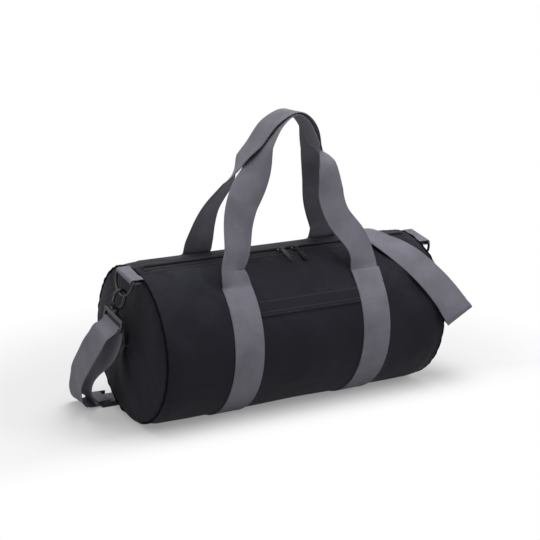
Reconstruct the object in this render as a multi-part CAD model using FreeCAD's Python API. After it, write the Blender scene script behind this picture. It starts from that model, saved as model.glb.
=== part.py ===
import FreeCAD, Part
import math
import os

Vector = FreeCAD.Vector
x_axis = Vector(1, 0, 0)
y_axis = Vector(0, 1, 0)
z_axis = Vector(0, 0, 1)

# Barrel: a fabric tube along X, pressed flat where it stands
barrel_length = 500.0
barrel_radius = 125.5
base_flat_depth = 2.0
fabric = 2.0
base_wall = 3.6
end_dome = 8.0
piping_radius = 1.0
binding_width = 9.5
binding_thickness = 1.2

# The bag lies rolled forwards, so its zip is this far in front of the top
roll_deg = 12.0

# Clearances
gap = 0.3
window_gap = 0.4
overrun = 5.0

# Webbing of the bands, handles, tabs and strap
webbing_width = 50.0
webbing_thickness = 1.6
band_offset = 115.0
anchor_spread_deg = 30.0
anchor_gap = 0.3
hinge_play = 0.1

# Carry handles: where their tops stand, and one half of each from its anchor to its top as shares:
# rise, spread, sway towards the left, twist as a share of a quarter turn, and twist taken from the left leg's
# and given to the right leg's
handle_top_forward = 51.0
front_handle_top = 460.0
back_handle_top = 470.0
front_handle_shares = [
    (0.0, 1.0, 0.0, 0.0, 0.0),
    (0.035, 1.0, 0.0, 0.0, 0.0),
    (0.08, 0.998, 0.0, 0.0, 0.02),
    (0.17, 0.945, 0.03, 0.0, 0.15),
    (0.33, 0.785, 0.13, 0.04, 0.08),
    (0.5, 0.665, 0.145, 0.14, 0.0),
    (0.66, 0.51, 0.08, 0.64, 0.0),
    (0.8, 0.385, 0.055, 0.98, -0.04),
    (0.91, 0.255, 0.03, 1.0, -0.05),
    (0.975, 0.13, 0.01, 1.0, -0.03),
    (1.0, 0.0, 0.0, 1.0, 0.0),
]
back_handle_shares = [
    (0.0, 1.0, 0.0, 0.0, 0.0),
    (0.035, 1.0, 0.0, 0.0, 0.0),
    (0.08, 0.998, 0.0, 0.02, 0.0),
    (0.17, 0.955, 0.03, 0.14, 0.0),
    (0.33, 0.846, 0.067, 0.3, 0.0),
    (0.5, 0.713, 0.017, 0.45, 0.0),
    (0.66, 0.622, 0.026, 0.84, 0.0),
    (0.8, 0.452, 0.017, 0.98, 0.0),
    (0.91, 0.302, 0.0065, 1.0, 0.0),
    (0.975, 0.15, 0.002, 1.0, 0.0),
    (1.0, 0.0, 0.0, 1.0, 0.0),
]

# Main zip
zip_inset = 10.0
zip_slot_half = 9.6
left_sewn_length = 25.0
right_sewn_length = 122.0
mouth_depth = 52.0
tape_width = 13.0
tape_thickness = 1.0
chain_half = 3.6
chain_thickness = 2.4
chain_depth = 2.2
tooth_root = 1.6
tooth_reach = 1.2
tooth_pitch = 4.0
tooth_width = 1.6

# Zip sliders and their pulls
slider_length = 13.0
slider_width = 11.0
slider_plate = 1.4
slider_play = 0.4
post_length = 2.4
post_width = 2.0
post_inset = 3.4
left_slider_x = 0.0
right_slider_x = 26.0
lug_width = 1.6
knuckle_length = 6.6
bail_radius = 0.9
bail_rise = 2.6
knuckle_play = 0.35
knuckle_wall = 0.8
pull_length = 36.0
pull_width = 9.0
pull_neck = 5.0
pull_thickness = 1.4
pull_hole_radius = 1.8
pull_rest_deg = 10.0

# Front pocket under its strip
pocket_half_length = 80.0
pocket_strip_deg = 44.0
pocket_strip_height = 26.0
pocket_slot_half = 8.5
pocket_zip_sink = 1.2
pocket_depth = 110.0
pocket_strip_thickness = 1.6
pocket_slider_inset = 28.0
pocket_pull_length = 18.0
pocket_pull_width = 7.0
pocket_pull_thickness = 1.2

# Tabs at the ends of the zip, and the rings they hold
tab_inset = 8.0
tab_reach = 18.0
ring_wire_radius = 2.0
ring_play = 0.4
ring_width = 54.0
ring_drop = 28.0
ring_corner = 2.2
ring_bow = 24.0
ring_lean_deg = 12.0

# Swivel hooks
hook_bowl_radius = 6.5
hook_wire_radius = 2.6
hook_throat = 12.0
hook_boss_radius = 4.2
hook_boss_length = 4.0
swivel_post_radius = 2.0
swivel_play = 0.2
rivet_radius = 3.6
rivet_thickness = 1.4
gate_width = 4.0
gate_thickness = 3.0
gate_pin_radius = 0.9
gate_pin_play = 0.05
ear_thickness = 1.2
ear_radius = 2.6
eye_beam_height = 6.0
eye_beam_depth = 6.0
eye_inner_width = 53.0
eye_inner_height = 9.0
eye_bar_radius = 2.0
eye_side = 4.0
wrap_start_deg = -10.0

# Adjuster on the strap, lying on the floor behind the left end
glide_inset = 13.5
glide_length = 28.0
glide_bar = 4.0
glide_bar_height = 2.0
glide_rail = 3.0
glide_pin_radius = 1.2
glide_travel = 40.0
glide_run = 12.0
sewn_end = 22.0

# Strap routes: centre points as shares of half the barrel's length and of its radius, then the width's direction;
# on the barrel the share along it, the angle from the top towards the front, then the width's direction;
# at the rim, the fold, the tail and the two layers of the loop x is a share of the radius beyond the barrel's end
strap_lift = 0.8
strap_standoff = 2.9
rim_standoff = 4.5
fold_lead = 2.6
floor_route_shares = [
    ((-0.56, 0.925, 0.0), (0.0, 1.0, 0.0)),
    ((-0.32, 0.97, 0.0), (0.0, 1.0, 0.0)),
    ((-0.08, 1.05, 0.0), (0.0, 1.0, 0.0)),
    ((0.16, 1.11, 0.0), (0.0, 1.0, 0.0)),
    ((0.34, 1.14, 0.07), (-0.1, 1.0, 0.1)),
    ((0.49, 1.15, 0.27), (-0.5, 0.7, 0.45)),
    ((0.59, 1.12, 0.58), (-0.9, 0.35, 0.5)),
]
barrel_route_shares = [
    (0.665, -90, (-1.0, 0.0, 0.25)),
    (0.69, -70, (-1.0, 0.0, 0.0)),
    (0.69, -45, (-1.0, 0.0, 0.0)),
    (0.688, -18, (-1.0, 0.0, 0.0)),
    (0.688, 3, (-1.0, -0.1, 0.0)),
    (0.712, 18, (-0.9, -0.35, -0.1)),
    (0.81, 39, (-0.84, -0.33, -0.42)),
]
rim_route_shares = [
    (-0.142, 61, (-0.83, -0.2, -0.5)),
    (0.040, 76, (-0.82, -0.05, -0.53)),
]
fold_route_shares = [
    ((0.125, -1.10, 1.066), (-0.85, 0.16, -0.46)),
]
tail_route_shares = [
    ((0.155, -1.093, 1.024), (-0.85, 0.16, -0.46)),
    ((0.196, -1.044, 1.018), (-0.66, 0.15, -0.70)),
    ((0.223, -0.908, 1.040), (-0.5, 0.1, -0.85)),
    ((0.279, -0.717, 1.044), (-0.4, 0.05, -0.9)),
    ((0.331, -0.494, 1.000), (-0.75, 0.0, -0.65)),
    ((0.375, -0.303, 0.936), (-0.97, 0.0, -0.2)),
    ((0.390, -0.163, 0.948), (-0.88, -0.4, 0.2)),
    ((0.371, -0.096, 1.036), (-0.45, -0.88, 0.05)),
    ((0.323, -0.070, 1.171), (-0.1, -0.98, -0.15)),
]
outer_route_shares = [
    ((0.245, 0.8924, 0.0255), (0.0, 1.0, 0.0)),
    ((0.311, 0.889, 0.052), (0.0, 1.0, 0.0)),
    ((0.367, 0.860, 0.127), (0.05, 1.0, -0.05)),
    ((0.410, 0.793, 0.239), (0.1, 0.97, -0.1)),
    ((0.446, 0.701, 0.366), (0.15, 0.95, -0.1)),
    ((0.482, 0.582, 0.502), (0.15, 0.97, -0.1)),
    ((0.507, 0.414, 0.661), (0.1, 0.98, 0.0)),
    ((0.508, 0.250, 0.830), (0.05, 0.98, 0.1)),
    ((0.490, 0.120, 0.980), (0.0, 0.978, 0.208)),
    ((0.450, 0.020, 1.120), (0.0, 0.978, 0.208)),
    ((0.395, -0.045, 1.230), (0.0, 0.978, 0.208)),
]
inner_route_shares = [
    ((0.256, -0.032, 1.100), (0.0, 0.978, 0.208)),
    ((0.289, 0.080, 0.931), (0.0, 0.98, 0.15)),
    ((0.321, 0.239, 0.793), (0.05, 0.98, 0.1)),
    ((0.349, 0.414, 0.635), (0.1, 0.98, 0.0)),
    ((0.343, 0.598, 0.454), (0.1, 0.98, -0.1)),
    ((0.305, 0.733, 0.310), (0.1, 0.98, -0.1)),
    ((0.250, 0.830, 0.185), (0.0, 1.0, 0.0)),
]
lead_shares = (0.8, 0.5, 0.25, 0.06)
sewn_shares = (0.06, 0.2, 0.5, 1.0)
route_steps = 4

# Sizes and places worked out from the values above
half_length = barrel_length / 2
zip_half_length = half_length - zip_inset
mouth_left = zip_half_length - left_sewn_length
mouth_right = zip_half_length - right_sewn_length
pocket_slider_x = pocket_half_length - pocket_slider_inset
glide_x = -half_length
glide_y = barrel_radius - glide_inset
axis_height = barrel_radius - base_flat_depth
axis_point = Vector(0, 0, axis_height)
inner_radius = barrel_radius - fabric
band_radius = barrel_radius + webbing_thickness
hinge_radius = band_radius + webbing_thickness / 2 + hinge_play


def deg_of(arc):
    """Angle round the barrel that an arc length covers."""
    return math.degrees(arc / barrel_radius)


zip_deg = roll_deg
slot_deg = deg_of(zip_slot_half)
hinge_deg = zip_deg - slot_deg - deg_of(mouth_depth)
front_anchor_deg = roll_deg + anchor_spread_deg
back_anchor_deg = roll_deg - anchor_spread_deg
pocket_top_deg = roll_deg + pocket_strip_deg
pocket_bottom_deg = pocket_top_deg + deg_of(pocket_strip_height)
pocket_zip_deg = (pocket_top_deg + pocket_bottom_deg) / 2
chain_top = barrel_radius - chain_depth + chain_thickness / 2
chain_bottom = chain_top - chain_thickness
tape_top = inner_radius - gap
tape_bottom = tape_top - tape_thickness
plate_top = chain_top + slider_play + slider_plate
plate_bottom = chain_bottom - slider_play - slider_plate
bail_radius_line = plate_top + bail_rise
knuckle_radius = bail_radius + knuckle_play + knuckle_wall
tab_radius_line = barrel_radius - tab_inset
tab_bore = ring_wire_radius + ring_play
tab_x = half_length + tab_reach
hook_line = hook_bowl_radius + hook_wire_radius
hook_seat = hook_bowl_radius - ring_wire_radius - ring_play
beam_top = hook_throat + hook_line + hook_wire_radius + hook_boss_length + gap
bar_line = beam_top + eye_beam_height + eye_inner_height + eye_bar_radius
wrap_radius = eye_bar_radius + gap + webbing_thickness / 2
strap_floor = strap_lift + webbing_thickness / 2
strap_run_height = glide_bar_height + gap + webbing_thickness / 2
pin_wrap = glide_pin_radius + gap + webbing_thickness / 2
glide_pin_height = strap_run_height + webbing_thickness + 2 * gap + pin_wrap


def polar(x, radius, deg):
    """Point at a radius from the barrel's axis, at an angle from the top towards the front."""
    turn = math.radians(deg)
    return Vector(x, -radius * math.sin(turn), axis_height + radius * math.cos(turn))


def rolled(shape, deg):
    """The shape turned about the barrel's axis, from the top towards the front."""
    return shape.rotated(axis_point, x_axis, deg)


def rolled_point(point, deg):
    """The point turned about the barrel's axis, from the top towards the front."""
    return axis_point + FreeCAD.Rotation(x_axis, deg).multVec(point - axis_point)


def mirrored(shape):
    """The shape's left-hand twin."""
    return shape.mirror(Vector(0, 0, 0), x_axis)


def box(x_range, y_range, z_range):
    """Box between the ends of three ranges."""
    corner = Vector(x_range[0], y_range[0], z_range[0])
    return Part.makeBox(x_range[1] - x_range[0], y_range[1] - y_range[0], z_range[1] - z_range[0], corner)


def rod(radius, start, end):
    """Round bar from one point to another."""
    return Part.makeCylinder(radius, (end - start).Length, start, end - start)


def above(height):
    """Space above a level, wide enough for the barrel and its trim."""
    reach = half_length + tab_reach + overrun
    side = barrel_radius + webbing_width
    return box((-reach, reach), (-side, side), (height, height + 3 * barrel_radius))


def sector(r_in, r_out, deg_a, deg_b, x_range):
    """Part of a tube round the barrel's axis, between two radii and two angles."""
    x = x_range[0]
    deg_mid = (deg_a + deg_b) / 2
    edges = [
        Part.Arc(polar(x, r_out, deg_a), polar(x, r_out, deg_mid), polar(x, r_out, deg_b)).toShape(),
        Part.makeLine(polar(x, r_out, deg_b), polar(x, r_in, deg_b)),
        Part.Arc(polar(x, r_in, deg_b), polar(x, r_in, deg_mid), polar(x, r_in, deg_a)).toShape(),
        Part.makeLine(polar(x, r_in, deg_a), polar(x, r_out, deg_a)),
    ]
    return Part.Face(Part.Wire(edges)).extrude(Vector(x_range[1] - x, 0, 0))


def ribbon(points, hints, ends=None):
    """Flat webbing along a smooth line through points, its width turned towards the hints."""
    curve = Part.BSplineCurve()
    if ends is None:
        curve.interpolate(points)
    else:
        curve.interpolate(Points=points, InitialTangent=ends[0], FinalTangent=ends[1])
    stops = [curve.parameter(point) for point in points]
    places = []
    for index in range(len(points) - 1):
        for step in range(route_steps):
            places.append((index, step / route_steps))
    places.append((len(points) - 2, 1.0))
    sections = []
    for index, share in places:
        at = stops[index] * (1 - share) + stops[index + 1] * share
        along = Vector(*curve.tangent(at)[0])
        hint = hints[index] * (1 - share) + hints[index + 1] * share
        wide = hint - along * hint.dot(along)
        wide.normalize()
        deep = along.cross(wide) * (webbing_thickness / 2)
        wide = wide * (webbing_width / 2)
        centre = curve.value(at)
        corners = [centre - wide - deep, centre + wide - deep, centre + wide + deep, centre - wide + deep]
        sections.append(Part.makePolygon(corners + corners[:1]))
    return Part.makeLoft(sections, True, True)


def tube(edges, radius):
    """Round wire along joined lines and arcs."""
    path = Part.Wire(edges)
    start = edges[0].valueAt(edges[0].FirstParameter)
    along = edges[0].tangentAt(edges[0].FirstParameter)
    profile = Part.Wire(Part.makeCircle(radius, start, along))
    return path.makePipeShell([profile], True, True)


def band_x(side):
    """Range along the barrel that one webbing band covers."""
    centre = side * band_offset
    return (centre - webbing_width / 2, centre + webbing_width / 2)


def band_sole(side):
    """Flat stretch of a band under the barrel, let into the base."""
    reach = math.sqrt(band_radius ** 2 - axis_height ** 2)
    return box(band_x(side), (-reach, reach), (0, webbing_thickness))


def band(side):
    """Webbing band round the barrel from the front anchor to the back one."""
    ring = sector(barrel_radius, band_radius, front_anchor_deg, 360 + back_anchor_deg, band_x(side))
    return ring.common(above(0)).fuse(band_sole(side)).removeSplitter()


def mouth_x(clear):
    """Range along the barrel of the mouth, drawn in by a clearance."""
    return (-mouth_left + clear, mouth_right - clear)


def body_panel():
    """Barrel wrap with the zip's slot, the mouth's window and the pocket's slot."""
    start = Vector(-half_length, 0, axis_height)
    outer = Part.makeCylinder(barrel_radius, barrel_length, start, x_axis)
    bore_start = start - x_axis * overrun
    bore = Part.makeCylinder(inner_radius, barrel_length + 2 * overrun, bore_start, x_axis)
    shell = outer.cut(bore.common(above(base_wall))).common(above(0))
    low = inner_radius - overrun
    high = barrel_radius + overrun
    zip_slot = sector(low, high, zip_deg - slot_deg, zip_deg + slot_deg, (-zip_half_length, zip_half_length))
    window = sector(low, high, hinge_deg - deg_of(window_gap), zip_deg, mouth_x(0))
    pocket_half_deg = deg_of(pocket_slot_half)
    pocket_x = (-pocket_half_length, pocket_half_length)
    pocket_slot = sector(low, high, pocket_zip_deg - pocket_half_deg, pocket_zip_deg + pocket_half_deg, pocket_x)
    return shell.cut([zip_slot, window, pocket_slot, band_sole(-1), band_sole(1)])


def mouth_flap():
    """Strip of the wrap behind the zip, folding back along its rear line."""
    return sector(inner_radius, barrel_radius, hinge_deg, zip_deg - slot_deg, mouth_x(window_gap))


def dome_rise(radius):
    """How far an end bulges at a radius."""
    ball = (barrel_radius ** 2 + end_dome ** 2) / (2 * end_dome)
    return math.sqrt(ball ** 2 - radius ** 2) - (ball - end_dome)


def dome_point(x, radius):
    """Point of the right end's profile above the barrel's axis."""
    return Vector(x + dome_rise(radius), 0, axis_height + radius)


def end_panel():
    """Right end: a round panel, slightly domed."""
    inside = half_length
    outside = half_length + fabric
    edges = []
    for x, radii in ((outside, (barrel_radius, 0)), (inside, (0, barrel_radius))):
        middle = dome_point(x, barrel_radius / 2)
        edges.append(Part.Arc(dome_point(x, radii[0]), middle, dome_point(x, radii[1])).toShape())
    edges.insert(1, Part.makeLine(dome_point(outside, 0), dome_point(inside, 0)))
    edges.append(Part.makeLine(dome_point(inside, barrel_radius), dome_point(outside, barrel_radius)))
    return Part.Face(Part.Wire(edges)).revolve(axis_point, x_axis, 360).common(above(0))


def end_piping():
    """Piping sewn into the right end's seam, lost where the base is pressed flat."""
    line = barrel_radius + gap / 2 + piping_radius
    lost_deg = math.degrees(math.acos(axis_height / (line + piping_radius)))
    start_deg = lost_deg - 180
    start = polar(half_length + fabric / 2, line, start_deg)
    along = polar(0, line, start_deg + 90) - axis_point
    profile = Part.Face(Part.Wire(Part.makeCircle(piping_radius, start, along)))
    return profile.revolve(axis_point, x_axis, -2 * start_deg)


def end_binding():
    """Tape that binds the right end's seam inside the bag."""
    start = axis_point + x_axis * (half_length - gap - binding_width)
    outer = Part.makeCylinder(inner_radius - gap, binding_width, start, x_axis)
    inner = Part.makeCylinder(inner_radius - gap - binding_thickness, binding_width, start, x_axis)
    return outer.cut(inner).common(above(base_wall + gap))


def zip_tape(side, deg, x_range, width=tape_width):
    """Tape on one side of a zip: side 1 is towards the front."""
    near = chain_half + gap / 2
    edge_a = deg + side * deg_of(near)
    edge_b = deg + side * deg_of(near + width)
    return sector(tape_bottom, tape_top, min(edge_a, edge_b), max(edge_a, edge_b), x_range)


def zip_row(side, deg, x_range, post_places, sink=0):
    """One row of teeth on its cord: side 1 is towards the front, posts of the sliders part the teeth."""
    base = axis_height + chain_bottom - sink
    first = math.ceil(x_range[0] / tooth_pitch)
    last = math.floor(x_range[1] / tooth_pitch)
    outline = [Vector(x_range[0], -side * chain_half, base), Vector(x_range[0], -side * tooth_root, base)]
    for index in range(first, last + 1):
        left = (index + side / 4) * tooth_pitch - tooth_width / 2
        right = left + tooth_width
        if left < x_range[0] + gap or right > x_range[1] - gap:
            continue
        outline.append(Vector(left, -side * tooth_root, base))
        outline.append(Vector(left, side * tooth_reach, base))
        outline.append(Vector(right, side * tooth_reach, base))
        outline.append(Vector(right, -side * tooth_root, base))
    outline.append(Vector(x_range[1], -side * tooth_root, base))
    outline.append(Vector(x_range[1], -side * chain_half, base))
    row = Part.Face(Part.makePolygon(outline + outline[:1])).extrude(z_axis * chain_thickness)
    room = post_length / 2 + slider_play
    for x in post_places:
        part_room = post_width / 2 + slider_play
        cut_z = (base - overrun, base + chain_thickness + overrun)
        row = row.cut(box((x - room, x + room), (-part_room, part_room), cut_z))
    return rolled(row, deg)


def slider_body(x, deg, facing, sink=0):
    """Slider's two plates and the post between them, which is towards the side it faces."""
    half = slider_length / 2
    side = slider_width / 2
    ends = (x - half, x + half)
    top = axis_height + plate_top - sink
    bottom = axis_height + plate_bottom - sink
    upper = box(ends, (-side, side), (top - slider_plate, top))
    lower = box(ends, (-side, side), (bottom, bottom + slider_plate))
    post_x = post_place(x, facing)
    post_y = (-post_width / 2, post_width / 2)
    post_z = (bottom, top)
    post = box((post_x - post_length / 2, post_x + post_length / 2), post_y, post_z)
    return rolled(upper.fuse([lower, post]).removeSplitter(), deg)


def post_place(x, facing):
    """Where the post of a slider at x stands."""
    return x + facing * (slider_length / 2 - post_inset)


def zip_slider(x, facing):
    """Slider of the main zip, with two lugs and the bar that carries its pull."""
    line = axis_height + bail_radius_line
    reach = knuckle_length / 2 + gap
    lug_z = (axis_height + plate_top - slider_plate, line + bail_radius)
    pieces = []
    for side in (-1, 1):
        ends = sorted((x + side * reach, x + side * (reach + lug_width)))
        pieces.append(box(ends, (-bail_radius, bail_radius), lug_z))
    pieces.append(rod(bail_radius, Vector(x - reach, 0, line), Vector(x + reach, 0, line)))
    crown = pieces[0].fuse(pieces[1:])
    return slider_body(x, zip_deg, facing).fuse(rolled(crown, zip_deg)).removeSplitter()


def pull_tab(x):
    """Pull that hangs down the front from its slider's bar."""
    line = axis_height + bail_radius_line
    half = knuckle_length / 2
    knuckle = rod(knuckle_radius, Vector(x - half, 0, line), Vector(x + half, 0, line))
    bore = rod(bail_radius + knuckle_play, Vector(x - half - overrun, 0, line), Vector(x + half + overrun, 0, line))
    wide = pull_width / 2
    outline = [
        Vector(x - half, 0, line),
        Vector(x - half, -pull_neck, line),
        Vector(x - wide, -2 * pull_neck, line),
        Vector(x - wide, -pull_length + wide, line),
        Vector(x - wide / 2, -pull_length, line),
        Vector(x + wide / 2, -pull_length, line),
        Vector(x + wide, -pull_length + wide, line),
        Vector(x + wide, -2 * pull_neck, line),
        Vector(x + half, -pull_neck, line),
        Vector(x + half, 0, line),
    ]
    leaf = Part.Face(Part.makePolygon(outline + outline[:1])).extrude(z_axis * pull_thickness)
    leaf = leaf.translated(z_axis * (-pull_thickness / 2))
    hole_at = Vector(x, -pull_length + wide, line)
    hole = rod(pull_hole_radius, hole_at - z_axis * overrun, hole_at + z_axis * overrun)
    tab = knuckle.fuse(leaf).cut([bore, hole]).removeSplitter()
    return rolled(tab.rotated(Vector(x, 0, line), x_axis, pull_rest_deg), zip_deg)


def handle_top(front):
    """Middle of the top of one handle."""
    return Vector(0, -handle_top_forward, front_handle_top if front else back_handle_top)


def handle_hinge(front):
    """Point midway between one handle's anchors, on the line that it folds about."""
    return polar(0, hinge_radius, front_anchor_deg if front else back_anchor_deg)


def handle(front):
    """Carry handle: webbing from one anchor over the top to the other."""
    foot = handle_hinge(front)
    rise = handle_top(front) - foot
    upward = Vector(rise)
    upward.normalize()
    facing = x_axis.cross(upward) * (1 if front else -1)
    shares = front_handle_shares if front else back_handle_shares
    legs = [(-1, share) for share in shares] + [(1, share) for share in shares[-2::-1]]
    points = []
    turns = []
    for side, (rise_share, spread_share, sway_share, twist_share, lean_share) in legs:
        start = upward * anchor_gap * (1 - rise_share)
        out = x_axis * band_offset * (side * spread_share - sway_share)
        points.append(foot + rise * rise_share + start + out)
        turns.append((twist_share + side * lean_share) * math.pi / 2)
    curve = Part.BSplineCurve()
    curve.interpolate(points)
    hints = []
    for point, turn in zip(points, turns):
        along = Vector(*curve.tangent(curve.parameter(point))[0])
        hints.append(along.cross(facing) * math.cos(turn) - y_axis * math.sin(turn))
    return ribbon(points, hints)


def pocket_strip():
    """Strip of fabric over the pocket's zip, sewn along its upper edge."""
    low = barrel_radius + gap
    ends = (-band_offset + webbing_width / 2 + gap, band_offset - webbing_width / 2 - gap)
    return sector(low, low + pocket_strip_thickness, pocket_top_deg, pocket_bottom_deg, ends)


def pocket_pouch():
    """Empty pocket, lying flat against the inside of the wrap below its zip."""
    start = pocket_zip_deg + deg_of(pocket_slot_half + gap + tape_width / 2)
    ends = (-pocket_half_length - webbing_thickness, pocket_half_length + webbing_thickness)
    return sector(tape_bottom, tape_top, start, start + deg_of(pocket_depth), ends)


def pocket_zip_x():
    """Range along the barrel of the pocket's zip."""
    return (-pocket_half_length - overrun, pocket_half_length + overrun)


def pocket_tapes():
    """Both tapes of the pocket's zip."""
    width = pocket_slot_half + tape_width / 2 - chain_half
    return Part.Compound([zip_tape(side, pocket_zip_deg, pocket_zip_x(), width) for side in (-1, 1)])


def pocket_teeth():
    """Both rows of teeth of the pocket's zip."""
    places = [post_place(pocket_slider_x, -1)]
    x_range = (-pocket_half_length + gap, pocket_half_length - gap)
    rows = [zip_row(side, pocket_zip_deg, x_range, places, pocket_zip_sink) for side in (-1, 1)]
    return Part.Compound(rows)


def pocket_pull():
    """Short pull lying in the pocket's slot beside its slider."""
    start = pocket_slider_x + slider_length / 2 + gap
    side = pocket_pull_width / 2
    low = axis_height + plate_top - pocket_zip_sink - pocket_pull_thickness
    leaf = box((start, start + pocket_pull_length), (-side, side), (low, low + pocket_pull_thickness))
    return rolled(leaf, pocket_zip_deg)


def ring_tab():
    """Folded webbing tab at the right end of the zip, holding its ring."""
    line = axis_height + tab_radius_line
    side = webbing_width / 2
    solids = []
    for radius in (tab_bore + webbing_thickness, tab_bore):
        leaf = box((half_length, tab_x), (-side, side), (line - radius, line + radius))
        nose = rod(radius, Vector(tab_x, -side, line), Vector(tab_x, side, line))
        solids.append(leaf.fuse(nose))
    ball = (barrel_radius ** 2 + end_dome ** 2) / (2 * end_dome)
    middle = axis_point + x_axis * (half_length + fabric + end_dome - ball + gap)
    return rolled(solids[0].cut([solids[1], Part.makeSphere(ball, middle)]), roll_deg)


def ring_hinge():
    """Middle of the right ring's straight bar, before the bag is rolled."""
    return Vector(tab_x, 0, axis_height + tab_radius_line)


def leaned(shape):
    """Ring and hook pieces drawn hanging straight down, leaned outwards and rolled with the bag."""
    return rolled(shape.rotated(ring_hinge(), y_axis, -ring_lean_deg), roll_deg)


def leaned_point(point):
    """A point of those pieces, leaned and rolled the same way."""
    top = ring_hinge()
    return rolled_point(top + FreeCAD.Rotation(y_axis, -ring_lean_deg).multVec(point - top), roll_deg)


def d_ring():
    """Right ring: a straight bar in the tab and a bow below it."""
    top = ring_hinge()
    half = ring_width / 2
    foot = half - ring_bow

    def at(y, drop):
        return top + Vector(0, y, -drop)

    def quarter(radius, centre_y, centre_drop, start_deg):
        points = []
        for step in (0, 45, 90):
            turn = math.radians(start_deg + step)
            points.append(at(centre_y + radius * math.cos(turn), centre_drop - radius * math.sin(turn)))
        return Part.Arc(*points).toShape()

    runs = [
        (at(-half + ring_corner, 0), at(half - ring_corner, 0)),
        (at(half, ring_corner), at(half, ring_drop - ring_bow)),
        (at(foot, ring_drop), at(-foot, ring_drop)),
        (at(-half, ring_drop - ring_bow), at(-half, ring_corner)),
    ]
    rods = [rod(ring_wire_radius, start, end) for start, end in runs if start.distanceToPoint(end) > gap]
    arcs = [
        quarter(ring_corner, half - ring_corner, ring_corner, 0),
        quarter(ring_bow, foot, ring_drop - ring_bow, -90),
        quarter(ring_bow, -foot, ring_drop - ring_bow, 180),
        quarter(ring_corner, -half + ring_corner, ring_corner, 90),
    ]
    return leaned(rods[0].fuse(rods[1:] + [tube([arc], ring_wire_radius) for arc in arcs]).removeSplitter())


def hook_origin():
    """Middle of the right hook's bowl, before it is leaned and rolled."""
    return ring_hinge() - z_axis * (ring_drop + hook_seat)


def hook_at(u, w, y=0):
    """Point beside the bowl's middle: u outwards, w up, y across."""
    return hook_origin() + Vector(u, y, w)


def gate_pivot():
    """Middle of the right hook's gate pin, before it is leaned and rolled."""
    return hook_at(hook_line, -hook_throat)


def hook_wire():
    """Bent wire of the right hook: from the gate's foot round the bottom, up the spine and over the bowl."""
    low = -hook_throat
    turn = hook_line * math.cos(math.pi / 4)
    foot = hook_at(turn, low - turn)
    knee = hook_at(-turn, low - turn)
    bend = hook_at(-hook_line * math.cos(math.pi / 8), low - hook_line * math.sin(math.pi / 8))
    edges = [
        Part.Arc(foot, hook_at(0, low - hook_line), knee).toShape(),
        Part.Arc(knee, bend, hook_at(-hook_line, low)).toShape(),
        Part.makeLine(hook_at(-hook_line, low), hook_at(-hook_line, 0)),
        Part.Arc(hook_at(-hook_line, 0), hook_at(0, hook_line), hook_at(hook_line, 0)).toShape(),
    ]
    return tube(edges, hook_wire_radius)


def hook_post():
    """Boss of the right hook, with the riveted post that its eye turns on."""
    boss_end = -beam_top + gap
    post_end = boss_end - eye_beam_height - 3 * gap
    boss = rod(hook_boss_radius, hook_at(0, -hook_throat - hook_line), hook_at(0, boss_end))
    post = rod(swivel_post_radius, hook_at(0, boss_end), hook_at(0, post_end))
    rivet = rod(rivet_radius, hook_at(0, post_end), hook_at(0, post_end - rivet_thickness))
    return boss.fuse([post, rivet])


def hook_ears():
    """Two ears of the right hook that carry the gate's pin, and the block they stand on."""
    low = -hook_throat
    turn = hook_line * math.cos(math.pi / 4)
    inner = gate_width / 2 + gap
    outer = inner + ear_thickness
    foot_z = (low - turn - hook_wire_radius, low - turn + gap)
    pieces = [box((turn - hook_wire_radius, turn + hook_wire_radius), (-outer, outer), foot_z)]
    for side in (-1, 1):
        ear_y = sorted((side * inner, side * outer))
        pieces.append(box((turn - hook_wire_radius / 2, hook_line + ear_radius / 2), ear_y, (low - turn, low)))
        pieces.append(rod(ear_radius, Vector(hook_line, ear_y[0], low), Vector(hook_line, ear_y[1], low)))
    return pieces[0].fuse(pieces[1:]).translated(hook_origin())


def hook_body():
    """Right hook: bowl, spine, boss, two ears for the gate and a riveted swivel post."""
    reach = gate_width / 2 + ear_thickness + overrun
    bore = rod(gate_pin_radius + gate_pin_play, gate_pivot() - y_axis * reach, gate_pivot() + y_axis * reach)
    body = hook_wire().fuse([hook_post(), hook_ears()])
    return leaned(body.cut(bore).removeSplitter())


def hook_gate():
    """Right gate: a lever from its pin up to the bowl's nose."""
    side = gate_width / 2
    half = gate_thickness / 2
    pivot = gate_pivot()
    top = hook_throat - gap
    bar = box((-half, half), (-side, side), (0, top)).translated(pivot)
    heel = rod(half, pivot - y_axis * side, pivot + y_axis * side)
    reach = side + overrun
    bore = rod(gate_pin_radius + gate_pin_play, pivot - y_axis * reach, pivot + y_axis * reach)
    return leaned(bar.fuse(heel).cut(bore).removeSplitter())


def gate_pin():
    """Pin of the right gate, between the hook's ears."""
    reach = gate_width / 2 + gap + ear_thickness
    return leaned(rod(gate_pin_radius, gate_pivot() - y_axis * reach, gate_pivot() + y_axis * reach))


def eye_bar():
    """Middle of the bar in the right swivel eye, before it is leaned and rolled."""
    return hook_at(0, -bar_line)


def swivel_eye():
    """Right eye: a beam that turns on the hook's post, two sides and the strap's bar."""
    half = eye_inner_width / 2
    depth = eye_beam_depth / 2
    beam_z = (-beam_top - eye_beam_height, -beam_top)
    beam = box((-depth, depth), (-half - eye_side, half + eye_side), beam_z)
    sides = []
    for side in (-1, 1):
        ends = sorted((side * half, side * (half + eye_side)))
        sides.append(box((-eye_bar_radius, eye_bar_radius), ends, (-bar_line - eye_bar_radius, -beam_top)))
    bar = rod(eye_bar_radius, Vector(0, -half, -bar_line), Vector(0, half, -bar_line))
    bore_end = -beam_top - eye_beam_height - overrun / 2
    bore = rod(swivel_post_radius + swivel_play, Vector(0, 0, -beam_top + overrun), Vector(0, 0, bore_end))
    frame = beam.fuse(sides + [bar]).cut(bore).removeSplitter()
    return leaned(frame.translated(hook_origin()))


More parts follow.
